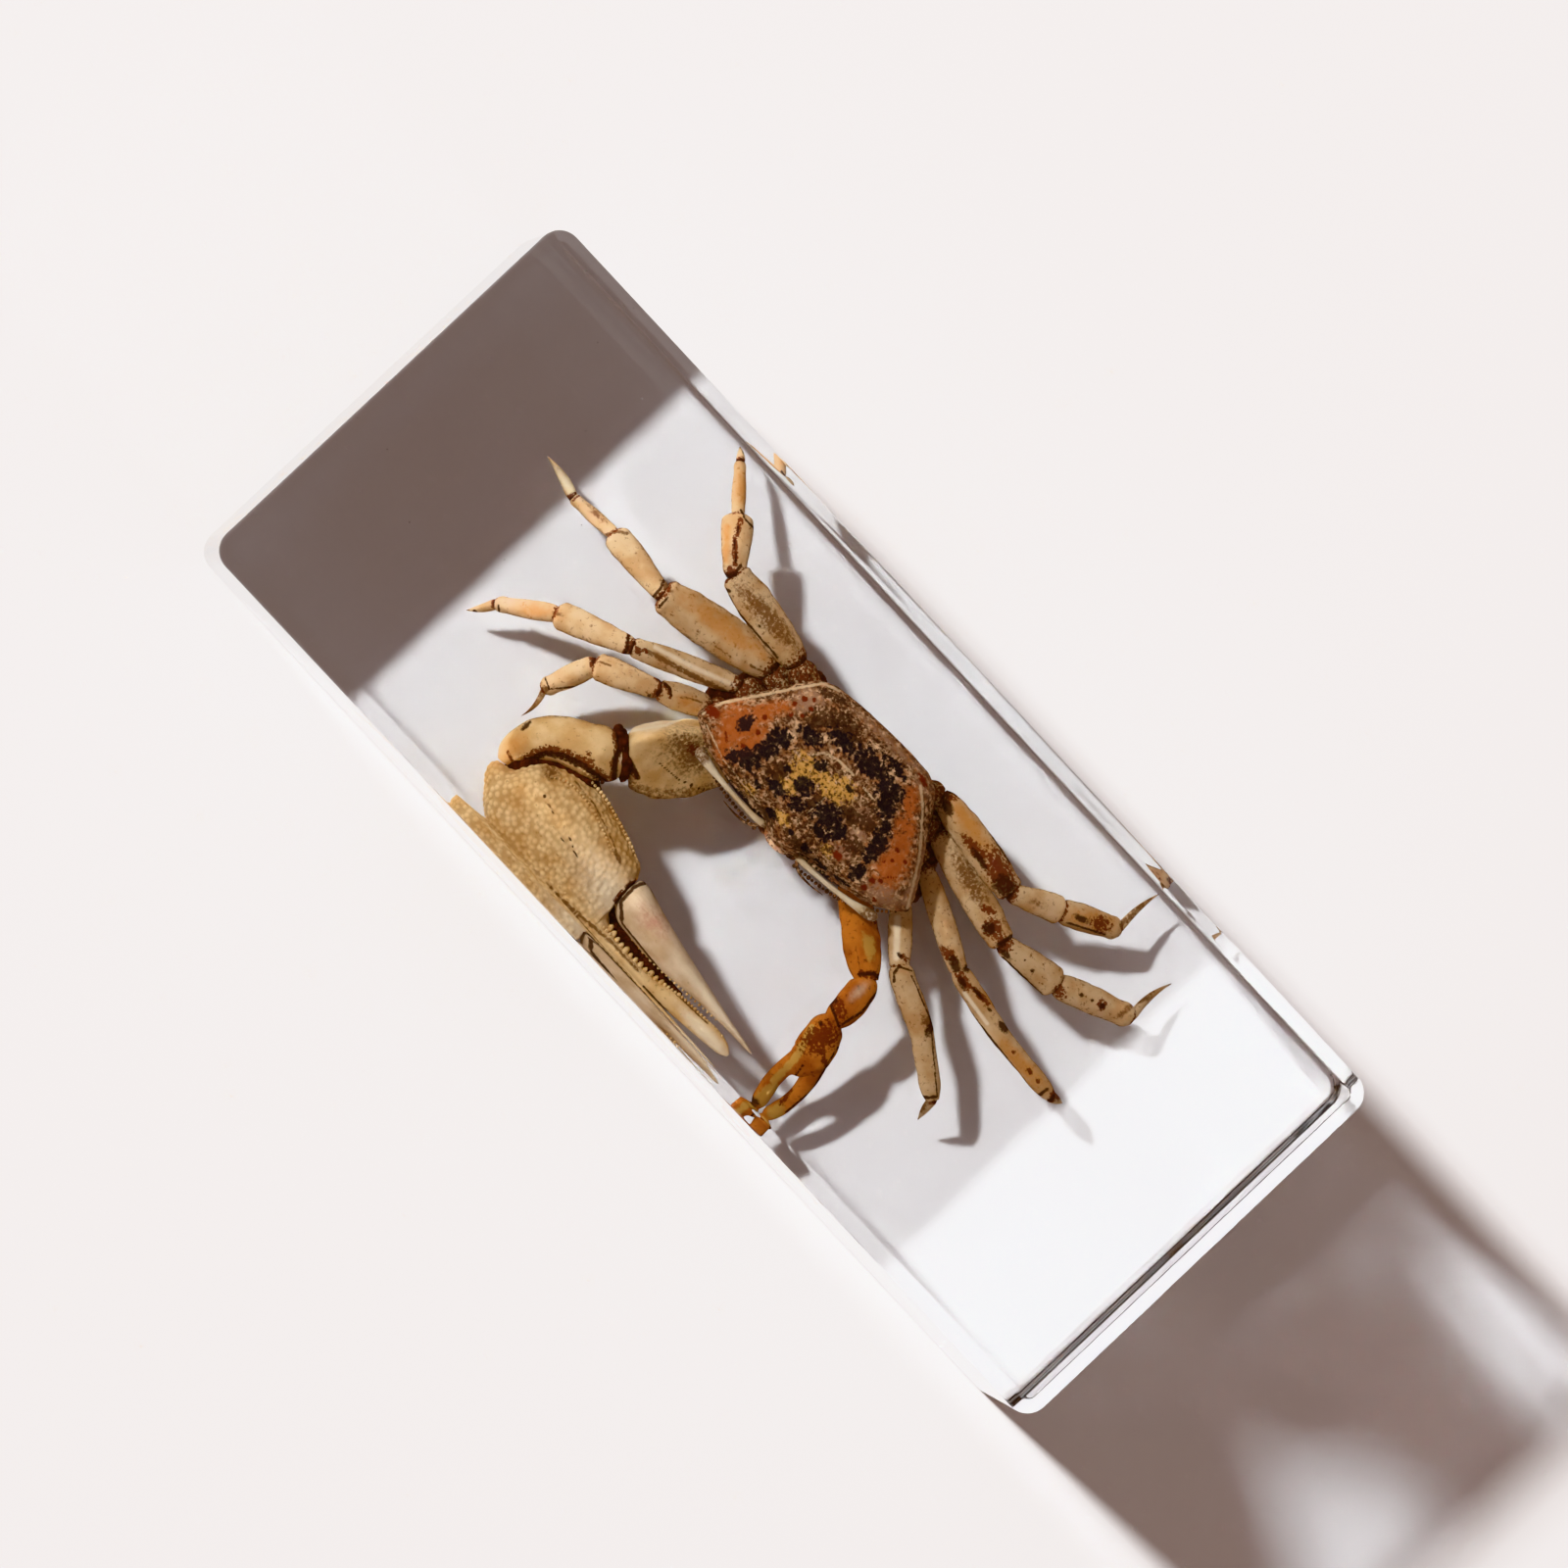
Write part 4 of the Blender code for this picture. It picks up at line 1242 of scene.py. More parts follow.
    def build_mouth(self, shop: Workshop) -> None:
        """Make the two doors over the mouth, each with its palp, and the feelers beside the eyestalks.

        Args:
            shop: the shared materials and trees.
        """
        shells = []
        for sign in (-1, 1):
            door = limb((
                ((sign * 1.35, -5.5, 8.3), 1.2, 1.0), ((sign * 1.45, -5.85, 9.2), 2.3, 1.5),
                ((sign * 1.5, -6.05, 10.8), 2.7, 1.6), ((sign * 1.5, -6.1, 12.4), 2.4, 1.5),
                ((sign * 1.2, -6.1, 13.3), 1.3, 1.0),
            ), sides=28)
            palp = limb((
                ((sign * 1.3, -6.65, 12.9), 0.7, 0.6), ((sign * 0.8, -6.85, 12.2), 0.7, 0.6),
                ((sign * 0.6, -6.85, 11.2), 0.5, 0.45), ((sign * 0.55, -6.75, 10.4), 0.2, 0.2),
            ), sides=16)
            feeler = limb((
                ((sign * 2.4, -7.1, 14.2), 0.4, 0.4), ((sign * 3.2, -7.7, 14.3), 0.3, 0.3),
                ((sign * 4.6, -7.9, 14.35), 0.18, 0.18), ((sign * 6.4, -7.75, 14.3), 0.06, 0.06),
            ), sides=10)
            door.raise_tint(Tint.UMBER, np.full(len(door.points), 0.62))
            door.raise_tint(Tint.RUST, np.full(len(door.points), 0.42))
            palp.raise_tint(Tint.RUST, np.full(len(palp.points), 0.5))
            feeler.raise_tint(Tint.UMBER, np.full(len(feeler.points), 0.55))
            shells += [door, palp, feeler]
        shell = merged(shells)
        shell.points = to_block(shell.points)
        shell.paint((Spot(Tint.SOOT, -0.8, -3.4, 2.2, 0.5, 3, 0.9),
                     Spot(Tint.RUST, 0.9, -3.2, 1.2, 0.4, 0, 0.9)))
        place_piece(dressed("mouthparts", shell, shop.carapace), "carapace")

    def build_underside(self, shop: Workshop) -> None:
        """Make the breastplate's bars and the narrow tail folded under it.

        Args:
            shop: the shared materials and trees.
        """
        shells = []
        for place in range(5):
            y = -3.2 + 2.0 * place
            reach = 4.6 - 0.35 * abs(place - 1)
            bar = limb((((-reach, y + 0.3, 8.2), 1.0, 0.5), ((-reach * 0.6, y, 7.62), 1.8, 0.6),
                        ((0.0, y - 0.1, 7.5), 1.8, 0.4), ((reach * 0.6, y, 7.62), 1.8, 0.6),
                        ((reach, y + 0.3, 8.2), 1.0, 0.5)), sides=20, spacing=0.3)
            shells.append(bar)
        for place in range(7):
            y = 5.6 - 1.35 * place
            half = (2.6, 2.3, 1.9, 1.6, 1.4, 1.2, 0.8)[place]
            plate = limb((((-half, y, 7.45), 0.9, 0.25), ((-half * 0.7, y, 7.3), 1.35, 0.42),
                          ((0.0, y, 7.2), 1.45, 0.5), ((half * 0.7, y, 7.3), 1.35, 0.42),
                          ((half, y, 7.45), 0.9, 0.25)), sides=16, spacing=0.3)
            plate.raise_tint(Tint.PALE, np.full(len(plate.points), 0.6))
            shells.append(plate)
        shell = merged(shells)
        shell.points = to_block(shell.points)
        place_piece(dressed("breastplate_and_tail", shell, shop.claw), "carapace")

    def build_crests(self, shop: Workshop) -> None:
        """Set the beaded crest below each eye.

        Args:
            shop: the shared materials and trees.
        """
        for side, sign in (("left", -1), ("right", 1)):
            crest = to_block(np.array([
                (sign * 2.6, -7.6, 14.2), (sign * 5.5, -7.35, 14.25), (sign * 8.5, -6.75, 14.25),
                (sign * 11.0, -5.4, 14.35), (sign * 12.4, -4.2, 14.8),
            ]))
            beads = knob_row(f"brow_beads_{side}", tuple(map(tuple, crest)), shop, shop.carapace, (
                Spot(Tint.UMBER, sign * 6, -3.0, 7, 2.0, 0, 0.9),
            ), Pitch=0.42 * MM, Size_at_Start=0.42 * MM, Size_at_End=0.3 * MM, Stretch=1.0,
                Direction=(0, 0, 1))
            place_piece(beads, "carapace")


@dataclass(frozen=True)
class LegForm:
    """A walking leg: its joints from the body outwards, segments' widths, claw's bend and marks."""

    name: str
    joints: tuple[tuple[float, float, float], ...]
    widths: tuple[float, ...]
    hook: float
    marks: tuple[Spot | Streak, ...]
    # Whether the carpus and the shin are one bowed shell, with no joint to be seen
    smooth_shin: bool = False


@dataclass
class WalkingLegs:
    """The eight walking legs, each with a hip, a blade-edged thigh, a knee, a shin and a pointed claw."""

    flat_share: float = 0.72
    sides: int = 36
    spacing: float = 0.14
    neck: float = 0.35
    # Dried skin about the hips, beside the carapace
    hip_skin: tuple = (
        ("hip_skin_left", (
            ((-12.6, 2.2, 9.6), 0.9, 0.7), ((-12.6, 3.0, 9.7), 2.2, 1.4), ((-11.9, 5.4, 9.8), 2.3, 1.6),
            ((-10.8, 7.6, 9.8), 2.3, 1.6), ((-9.0, 9.9, 10.4), 2.2, 1.6), ((-7.2, 11.3, 10.8), 1.7, 1.4),
            ((-6.6, 11.6, 10.8), 0.7, 0.6),
        )),
        ("hip_skin_right", (
            ((12.6, 2.6, 9.4), 0.9, 0.7), ((12.7, 3.6, 9.5), 2.4, 1.4), ((12.1, 6.0, 9.7), 2.8, 1.6),
            ((11.0, 8.4, 9.8), 2.8, 1.6), ((9.2, 10.7, 10.4), 2.5, 1.6), ((7.2, 12.1, 10.8), 1.8, 1.4),
            ((6.6, 12.4, 10.8), 0.7, 0.6),
        )),
    )
    # For each segment from the hip outwards: share of its length, of its width and of its height
    profiles: tuple[tuple[tuple[float, float, float], ...], ...] = (
        ((0.0, 0.8, 0.8), (0.5, 1.0, 1.0), (0.9, 0.95, 0.95), (1.0, 0.7, 0.7)),
        ((0.0, 0.45, 0.5), (0.03, 0.6, 0.66), (0.12, 0.8, 0.88), (0.3, 0.96, 1.0), (0.55, 1.02, 1.0),
         (0.8, 0.97, 0.96), (0.92, 0.86, 0.9), (0.975, 0.8, 0.86), (1.0, 0.62, 0.66)),
        ((0.0, 0.5, 0.55), (0.06, 0.66, 0.7), (0.25, 0.8, 0.85), (0.6, 0.98, 1.0), (0.85, 1.03, 1.02),
         (0.96, 0.94, 0.94), (1.0, 0.68, 0.7)),
        ((0.0, 0.58, 0.62), (0.05, 0.78, 0.82), (0.25, 0.98, 0.98), (0.5, 1.0, 1.0), (0.8, 0.84, 0.88),
         (0.95, 0.78, 0.8), (1.0, 0.55, 0.6)),
        ((0.0, 0.7, 0.7), (0.08, 0.92, 0.92), (0.35, 0.9, 0.9), (0.6, 0.68, 0.68), (0.82, 0.36, 0.36),
         (1.0, 0.08, 0.08)),
    )
    forms: tuple[LegForm, ...] = (
        LegForm("leg_left_1",
                ((-10.0, 3.6, 9.8), (-12.5, 2.2, 10.6), (-17.0, -0.2, 12.0), (-22.7, -2.9, 10.4),
                 (-24.3, -7.8, 7.2), (-23.7, -10.9, 4.4)), (2.4, 2.5, 2.6, 2.2, 0.62), -0.5, (
                    Streak(Tint.RUST, 0.42, ((-18.9, -0.3), (-17.4, -0.1), (-16.7, -0.5))),
                    *streaks(Tint.SOOT, (0.3, ((-18.7, -0.2), (-17.3, 0.0), (-16.7, -0.4))),
                             (0.18, ((-24.9, -8.2), (-22.6, -5.3), (-21.9, -4.6)), 0.9),
                             (0.2, ((-26.0, -7.9), (-25.0, -8.3)))),
                    Spot(Tint.RUST, -17.7, -1.2, 0.4, 0.6),
                    *spots(Tint.SOOT, (-17.7, -1.0, 0.25, 0.4), (-18.1, -1.9, 0.16, 0.2)),
                    *streaks(Tint.UMBER, (0.2, ((-16, 0.2), (-14.3, 1.3))),
                             (0.2, ((-23.6, -3.1), (-22.6, -2.6))),
                             (0.7, ((-25.3, -8.6), (-25.4, -9.7), (-24.8, -11.3)))),
                    Spot(Tint.AMBER, -15.2, 0.3, 1.2, 0.6, 25, 0.9))),
        LegForm("leg_left_2",
                ((-9.2, 6.3, 10.2), (-12.0, 5.7, 10.8), (-21.7, 0.7, 12.4), (-28.6, -2.2, 9.6),
                 (-33.1, -5.6, 6.2), (-34.4, -7.9, 3.8)), (2.4, 2.3, 2.6, 1.8, 1.05), -0.2, (
                    Streak(Tint.UMBER, 0.5, ((-13.5, 3.5), (-18.0, 1.9), (-21.2, 0.8))),
                    Streak(Tint.PALE, 0.5, ((-13.3, 4.6), (-17.0, 3.0), (-21.0, 1.6)), 0.85),
                    Streak(Tint.RUST, 0.4, ((-23.6, 0.6), (-22.9, -0.2), (-22.6, -0.9))),
                    *streaks(Tint.SOOT, (0.28, ((-23.5, 0.5), (-22.8, -0.3), (-22.5, -0.9))),
                             (0.18, ((-34.0, -6.4), (-33.3, -7.0)))),
                    *spots(Tint.RUST, (-21.9, 0.2, 0.45, 0.35), (-21.4, 0.7, 0.3, 0.25)),
                    *spots(Tint.SOOT, (-22.9, 1.1, 0.35, 0.2), (-35.0, -8.5, 0.3, 0.2)),
                    Spot(Tint.UMBER, -29.5, -2.9, 0.5, 0.18, 30),
                    Spot(Tint.AMBER, -31.0, -4.2, 2.2, 0.8, 40, 0.85))),
        LegForm("leg_left_3",
                ((-8.4, 8.4, 10.4), (-11.1, 9.0, 10.8), (-23.3, 6.2, 12.2), (-30.4, 6.8, 9.6),
                 (-35.5, 6.4, 7.2), (-39.7, 7.4, 5.0)), (2.7, 4.1, 2.6, 1.4, 1.1), 0.25, (
                    *spots(Tint.AMBER, (-17.6, 7.7, 4.4, 1.0, 12), (-13.8, 8.3, 1.5, 0.6, 12, 0.8)),
                    *streaks(Tint.UMBER, (0.2, ((-12.4, 7.4), (-15.0, 6.4), (-19.2, 5.4), (-21.4, 5.0))),
                             (0.32, ((-30.6, 6.9), (-31.4, 6.3), (-31.8, 5.5))),
                             (0.14, ((-32, 6.8), (-38.6, 6.7)))),
                    *streaks(Tint.SOOT, (0.3, ((-25.0, 6.5), (-24.7, 5.8), (-24.5, 4.4))),
                             (0.26, ((-23.6, 5.6), (-23.45, 4.4)))),
                    *spots(Tint.UMBER, (-24.3, 6.2, 0.8, 0.3), (-33.8, 6.1, 1.6, 0.5, 0, 0.7)),
                    Streak(Tint.RUST, 0.2, ((-36.3, 6.4), (-36.3, 5.3))),
                    Spot(Tint.PALE, -38.0, 6.0, 1.9, 0.5))),
        LegForm("leg_left_4",
                ((-6.6, 10.0, 11.4), (-9.9, 11.0, 12.0), (-20.1, 12.3, 13.0), (-23.7, 16.4, 10.6),
                 (-27.2, 20.2, 7.8), (-28.1, 21.2, 5.4)), (2.6, 3.5, 2.9, 1.35, 0.85), 0.1, (
                    *streaks(Tint.SOOT, (0.2, ((-20.3, 10.0), (-18.2, 9.5), (-12.4, 9.3))),
                             (0.36, ((-21.1, 12.6), (-20.8, 11.6), (-21.3, 10.7))),
                             (0.2, ((-23.9, 15.0), (-23.0, 13.7), (-21.6, 12.5))),
                             (0.2, ((-24.9, 16.2), (-23.9, 15.9), (-22.7, 15.95)))),
                    Spot(Tint.UMBER, -16.0, 11.2, 4.4, 1.0, 0, 0.85),
                    *spots(Tint.SOOT, (-15.8, 10.0, 0.4, 0.14), (-20.2, 10.2, 0.3, 0.2),
                           (-28.5, 20.3, 0.4, 0.3)),
                    *streaks(Tint.RUST, (0.5, ((-21.6, 11.8), (-21.0, 10.9))),
                             (0.5, ((-24.2, 15.6), (-23.2, 13.9), (-21.5, 12.3)))),
                    Streak(Tint.AMBER, 0.7, ((-24.6, 14.2), (-22.4, 11.9)), 0.9),
                    Spot(Tint.AMBER, -26.3, 17.8, 2.2, 0.8, -40, 0.85))),
        LegForm("leg_right_1",
                ((10.2, 3.9, 9.8), (12.6, 3.4, 10.4), (17.4, -1.5, 12.0), (23.3, -4.0, 10.6),
                 (28.8, -7.5, 8.6), (29.5, -9.6, 4.4)), (2.3, 2.3, 2.5, 2.1, 1.0), 0.12, (
                    Streak(Tint.PALE, 0.6, ((13.0, 0.9), (15.6, -1.7))),
                    *spots(Tint.SOOT, (15.7, -1.3, 0.35, 0.22), (22.7, -4.1, 0.4, 0.9, 20, 0.8)),
                    *streaks(Tint.SOOT, (0.26, ((16.4, -2.0), (16.5, -2.8), (17.1, -3.4))),
                             (0.2, ((16.6, -2.0), (17.5, -1.5))),
                             (0.16, ((17.8, -1.8), (22.0, -3.3), (27.8, -7.8)), 0.95),
                             (0.3, ((26.7, -8.9), (27.3, -8.5), (27.7, -7.9)))),
                    Spot(Tint.RUST, 16.2, -1.2, 0.5, 0.3, 0, 0.9),
                    *spots(Tint.UMBER, (22.3, -3.6, 0.8, 0.6), (27.4, -9.7, 0.5, 0.9))),
                smooth_shin=True),
        LegForm("leg_right_2",
                ((9.4, 6.5, 10.2), (12.0, 6.9, 10.8), (21.6, 2.4, 11.2), (28.8, 1.2, 10.2),
                 (36.2, 0.8, 8.9), (37.6, 1.3, 6.0)), (2.4, 2.2, 2.1, 1.8, 1.1), 0.0, (
                    *spots(Tint.RUST, (18.8, 2.1, 1.0, 0.5), (21.5, 1.4, 1.2, 0.5, -10),
                           (23.6, 1.6, 1.2, 0.3), (29.7, 0.3, 0.2, 0.2), (32.0, 0.1, 0.35, 0.25),
                           (33.2, 0.1, 0.25, 0.2), (35.3, 0.4, 0.6, 0.4)),
                    *spots(Tint.SOOT, (19.8, 1.9, 0.9, 0.45, -20), (20.9, 2.5, 0.35, 0.5),
                           (21.6, 1.2, 0.7, 0.3, -20), (23.4, 1.6, 0.8, 0.18), (27.3, 1.2, 0.65, 0.4),
                           (25.2, 1.35, 0.3, 0.15)),
                    Streak(Tint.PALE, 0.35, ((22.4, 0.7), (26.0, 0.3))),
                    *streaks(Tint.SOOT, (0.24, ((21.6, 0.3), (24.4, -0.2), (28.0, -0.45), (34.0, -1.0))),
                             (0.34, ((34.4, 0.2), (34.3, -0.9)))),
                    *spots(Tint.AMBER, (31.0, 0.0, 3.0, 0.7), (24.8, 2.0, 1.2, 0.5, 0, 0.8))),
                smooth_shin=True),
        LegForm("leg_right_3",
                ((7.8, 8.6, 10.6), (10.6, 9.9, 11.0), (22.5, 7.2, 11.8), (28.9, 8.4, 9.0),
                 (36.3, 11.6, 6.2), (36.7, 16.6, 3.7)), (2.6, 3.1, 2.9, 2.7, 0.9), -0.45, (
                    *spots(Tint.UMBER, (15.0, 8.3, 3.2, 0.9, -12, 0.85), (20.8, 7.9, 1.2, 0.5, 0, 0.5)),
                    *spots(Tint.RUST, (18.3, 7.6, 0.9, 0.35, 15), (19.8, 6.7, 0.9, 0.9),
                           (21.6, 6.6, 0.9, 0.7), (28.6, 7.3, 0.7, 0.5), (32.2, 9.4, 0.5, 0.45)),
                    *spots(Tint.SOOT, (19.6, 6.5, 0.6, 0.6), (22.4, 6.0, 0.6, 0.3), (25.3, 6.8, 0.2, 0.2),
                           (24.1, 6.9, 0.12, 0.12), (32.3, 9.3, 0.3, 0.3), (30.2, 8.6, 0.22, 0.2),
                           (31.3, 9.0, 0.18, 0.16)),
                    *streaks(Tint.SOOT, (0.4, ((21.6, 7.6), (21.3, 6.2))),
                             (0.22, ((22.4, 5.6), (27.6, 5.9)))),
                    Streak(Tint.UMBER, 0.7, ((34.1, 9.9), (34.2, 11.5), (34.7, 13.0), (34.3, 15.2)), 0.7))),
        LegForm("leg_right_4",
                ((5.6, 10.4, 11.4), (8.6, 12.4, 12.0), (19.5, 11.0, 12.5), (24.1, 13.4, 9.8),
                 (29.4, 16.3, 6.6), (29.6, 21.4, 5.3)), (2.6, 3.2, 2.6, 2.6, 0.8), -0.3, (
                    *spots(Tint.AMBER, (10.8, 11.9, 3.0, 0.8, -5), (25.8, 14.2, 2.4, 1.0, 30)),
                    *spots(Tint.RUST, (16.4, 10.9, 2.4, 1.2, -15), (13.2, 10.6, 1.6, 0.5, -5),
                           (26.6, 14.5, 1.0, 0.7, 25)),
                    *spots(Tint.SOOT, (17.6, 10.3, 1.1, 1.0), (14.2, 10.3, 1.3, 0.3, -8),
                           (8.6, 11.4, 0.9, 0.5, -20), (25.0, 13.5, 0.8, 0.3, 20)),
                    Spot(Tint.ROSE, 15.6, 11.0, 0.8, 0.3, -15),
                    *streaks(Tint.SOOT, (0.14, ((7.6, 12.9), (12.0, 12.9), (16.4, 12.1))),
                             (0.22, ((18.6, 9.5), (21.6, 9.7))), (0.2, ((24.2, 12.2), (27.6, 14.1)))),
                    Spot(Tint.UMBER, 21.0, 11.4, 1.6, 0.7, 20, 0.5),
                    Streak(Tint.UMBER, 0.7, ((28.0, 15.9), (28.0, 18.4), (27.9, 21.0)), 0.75))),
    )

    def build(self, shop: Workshop) -> None:
        """Make each leg as one piece of four or five shells, and the skin about the hips.

        Args:
            shop: the shared materials and trees.
        """
        for form in self.forms:
            shells = [self.segment(form, index) for index in range(len(form.widths))
                      if not (form.smooth_shin and index in (2, 3))]
            if form.smooth_shin:
                shells.append(self.long_shin(form))
            shell = merged(shells)
            shell.paint(form.marks)
            place_piece(dressed(f"{form.name}_shell", shell, shop.leg), "leg_shell", form.name)
        for name, line in self.hip_skin:
            crust(name, "leg_shell", (line,), shop)

    def long_shin(self, form: LegForm) -> Shell:
        """Make the carpus and the shin as one bowed shell from the knee to the claw.

        Args:
            form: the leg.

        Returns:
            The closed shell.
        """
        knee, bend, end = (np.array(point) for point in form.joints[2:5])
        wide, narrow = form.widths[2], form.widths[3]
        start = knee - (bend - knee) / np.linalg.norm(bend - knee) * self.neck
        places = ((start, 0.62), (knee, 0.8), (knee * 0.7 + bend * 0.3, 0.98), (bend, 1.0),
                  (bend * 0.5 + end * 0.5, 0.98), (bend * 0.1 + end * 0.9, 0.84), (end, 0.6))
        widths = (wide, wide, wide, (wide + narrow) / 2, narrow, narrow, narrow)
        stations = tuple((tuple(place), width * share, width * share * self.flat_share)
                         for (place, share), width in zip(places, widths))
        shell = limb(stations, sides=self.sides, spacing=self.spacing)
        from_knee = np.linalg.norm(shell.points - start, axis=1)
        from_claw = np.linalg.norm(shell.points - end, axis=1)
        shell.raise_tint(Tint.RUST, fading(from_knee, 1.2, 0.8))
        shell.raise_tint(Tint.SOOT, fading(from_knee, 1.0, 0.75))
        shell.raise_tint(Tint.RUST, fading(from_claw, 0.8, 1.2))
        return shell

    def segment(self, form: LegForm, index: int) -> Shell:
        """Make one segment: a neck that sits in the segment before, a swelling and a lipped end.

        Args:
            form: the leg.
            index: the segment's number from the body.

        Returns:
            The closed shell, with its ends darkened where the joint's skin dried.
        """
        start, end = np.array(form.joints[index]), np.array(form.joints[index + 1])
        length = np.linalg.norm(end - start)
        start = start - (end - start) / length * self.neck
        length += self.neck
        rows = np.array(self.profiles[index])
        share = np.linspace(0, 1, max(12, round(length / self.spacing)))
        sizes = smooth_through(rows[:, 0], rows[:, 1:], share) * form.widths[index]
        sizes[:, 1] *= self.flat_share if index < 4 else 1.0
        centres = start + share[:, None] * (end - start)
        if index == 4:
            aside = np.cross((end - start) / length, (0, 0, 1.0))
            centres += aside * form.hook * (4 * share * (1 - share))[:, None]
        section = Section.LENS if index in (1, 3) else Section.OVAL
        shell = tube(np.concatenate([centres, sizes], axis=1), section, self.sides)
        along = np.concatenate([np.repeat(share, self.sides), [0.0, 1.0]]) * length
        if index == 0:
            shell.raise_tint(Tint.RUST, np.full(len(shell.points), 0.62))
            shell.raise_tint(Tint.SOOT, np.full(len(shell.points), 0.45))
        elif index == 1:
            shell.raise_tint(Tint.RUST, fading(along, 0.9, 2.6))
            shell.raise_tint(Tint.SOOT, fading(along, 0.8, 2.2))
        else:
            shell.raise_tint(Tint.RUST, fading(along, 1.15, 0.75))
            shell.raise_tint(Tint.SOOT, fading(along, 1.0, 0.62) * 0.85)
        if index < 4:
            shell.raise_tint(Tint.RUST, fading(length - along, 0.72, 0.8))
        else:
            shell.raise_tint(Tint.UMBER, fading(length - along, 0.75, 1.6))
        return shell


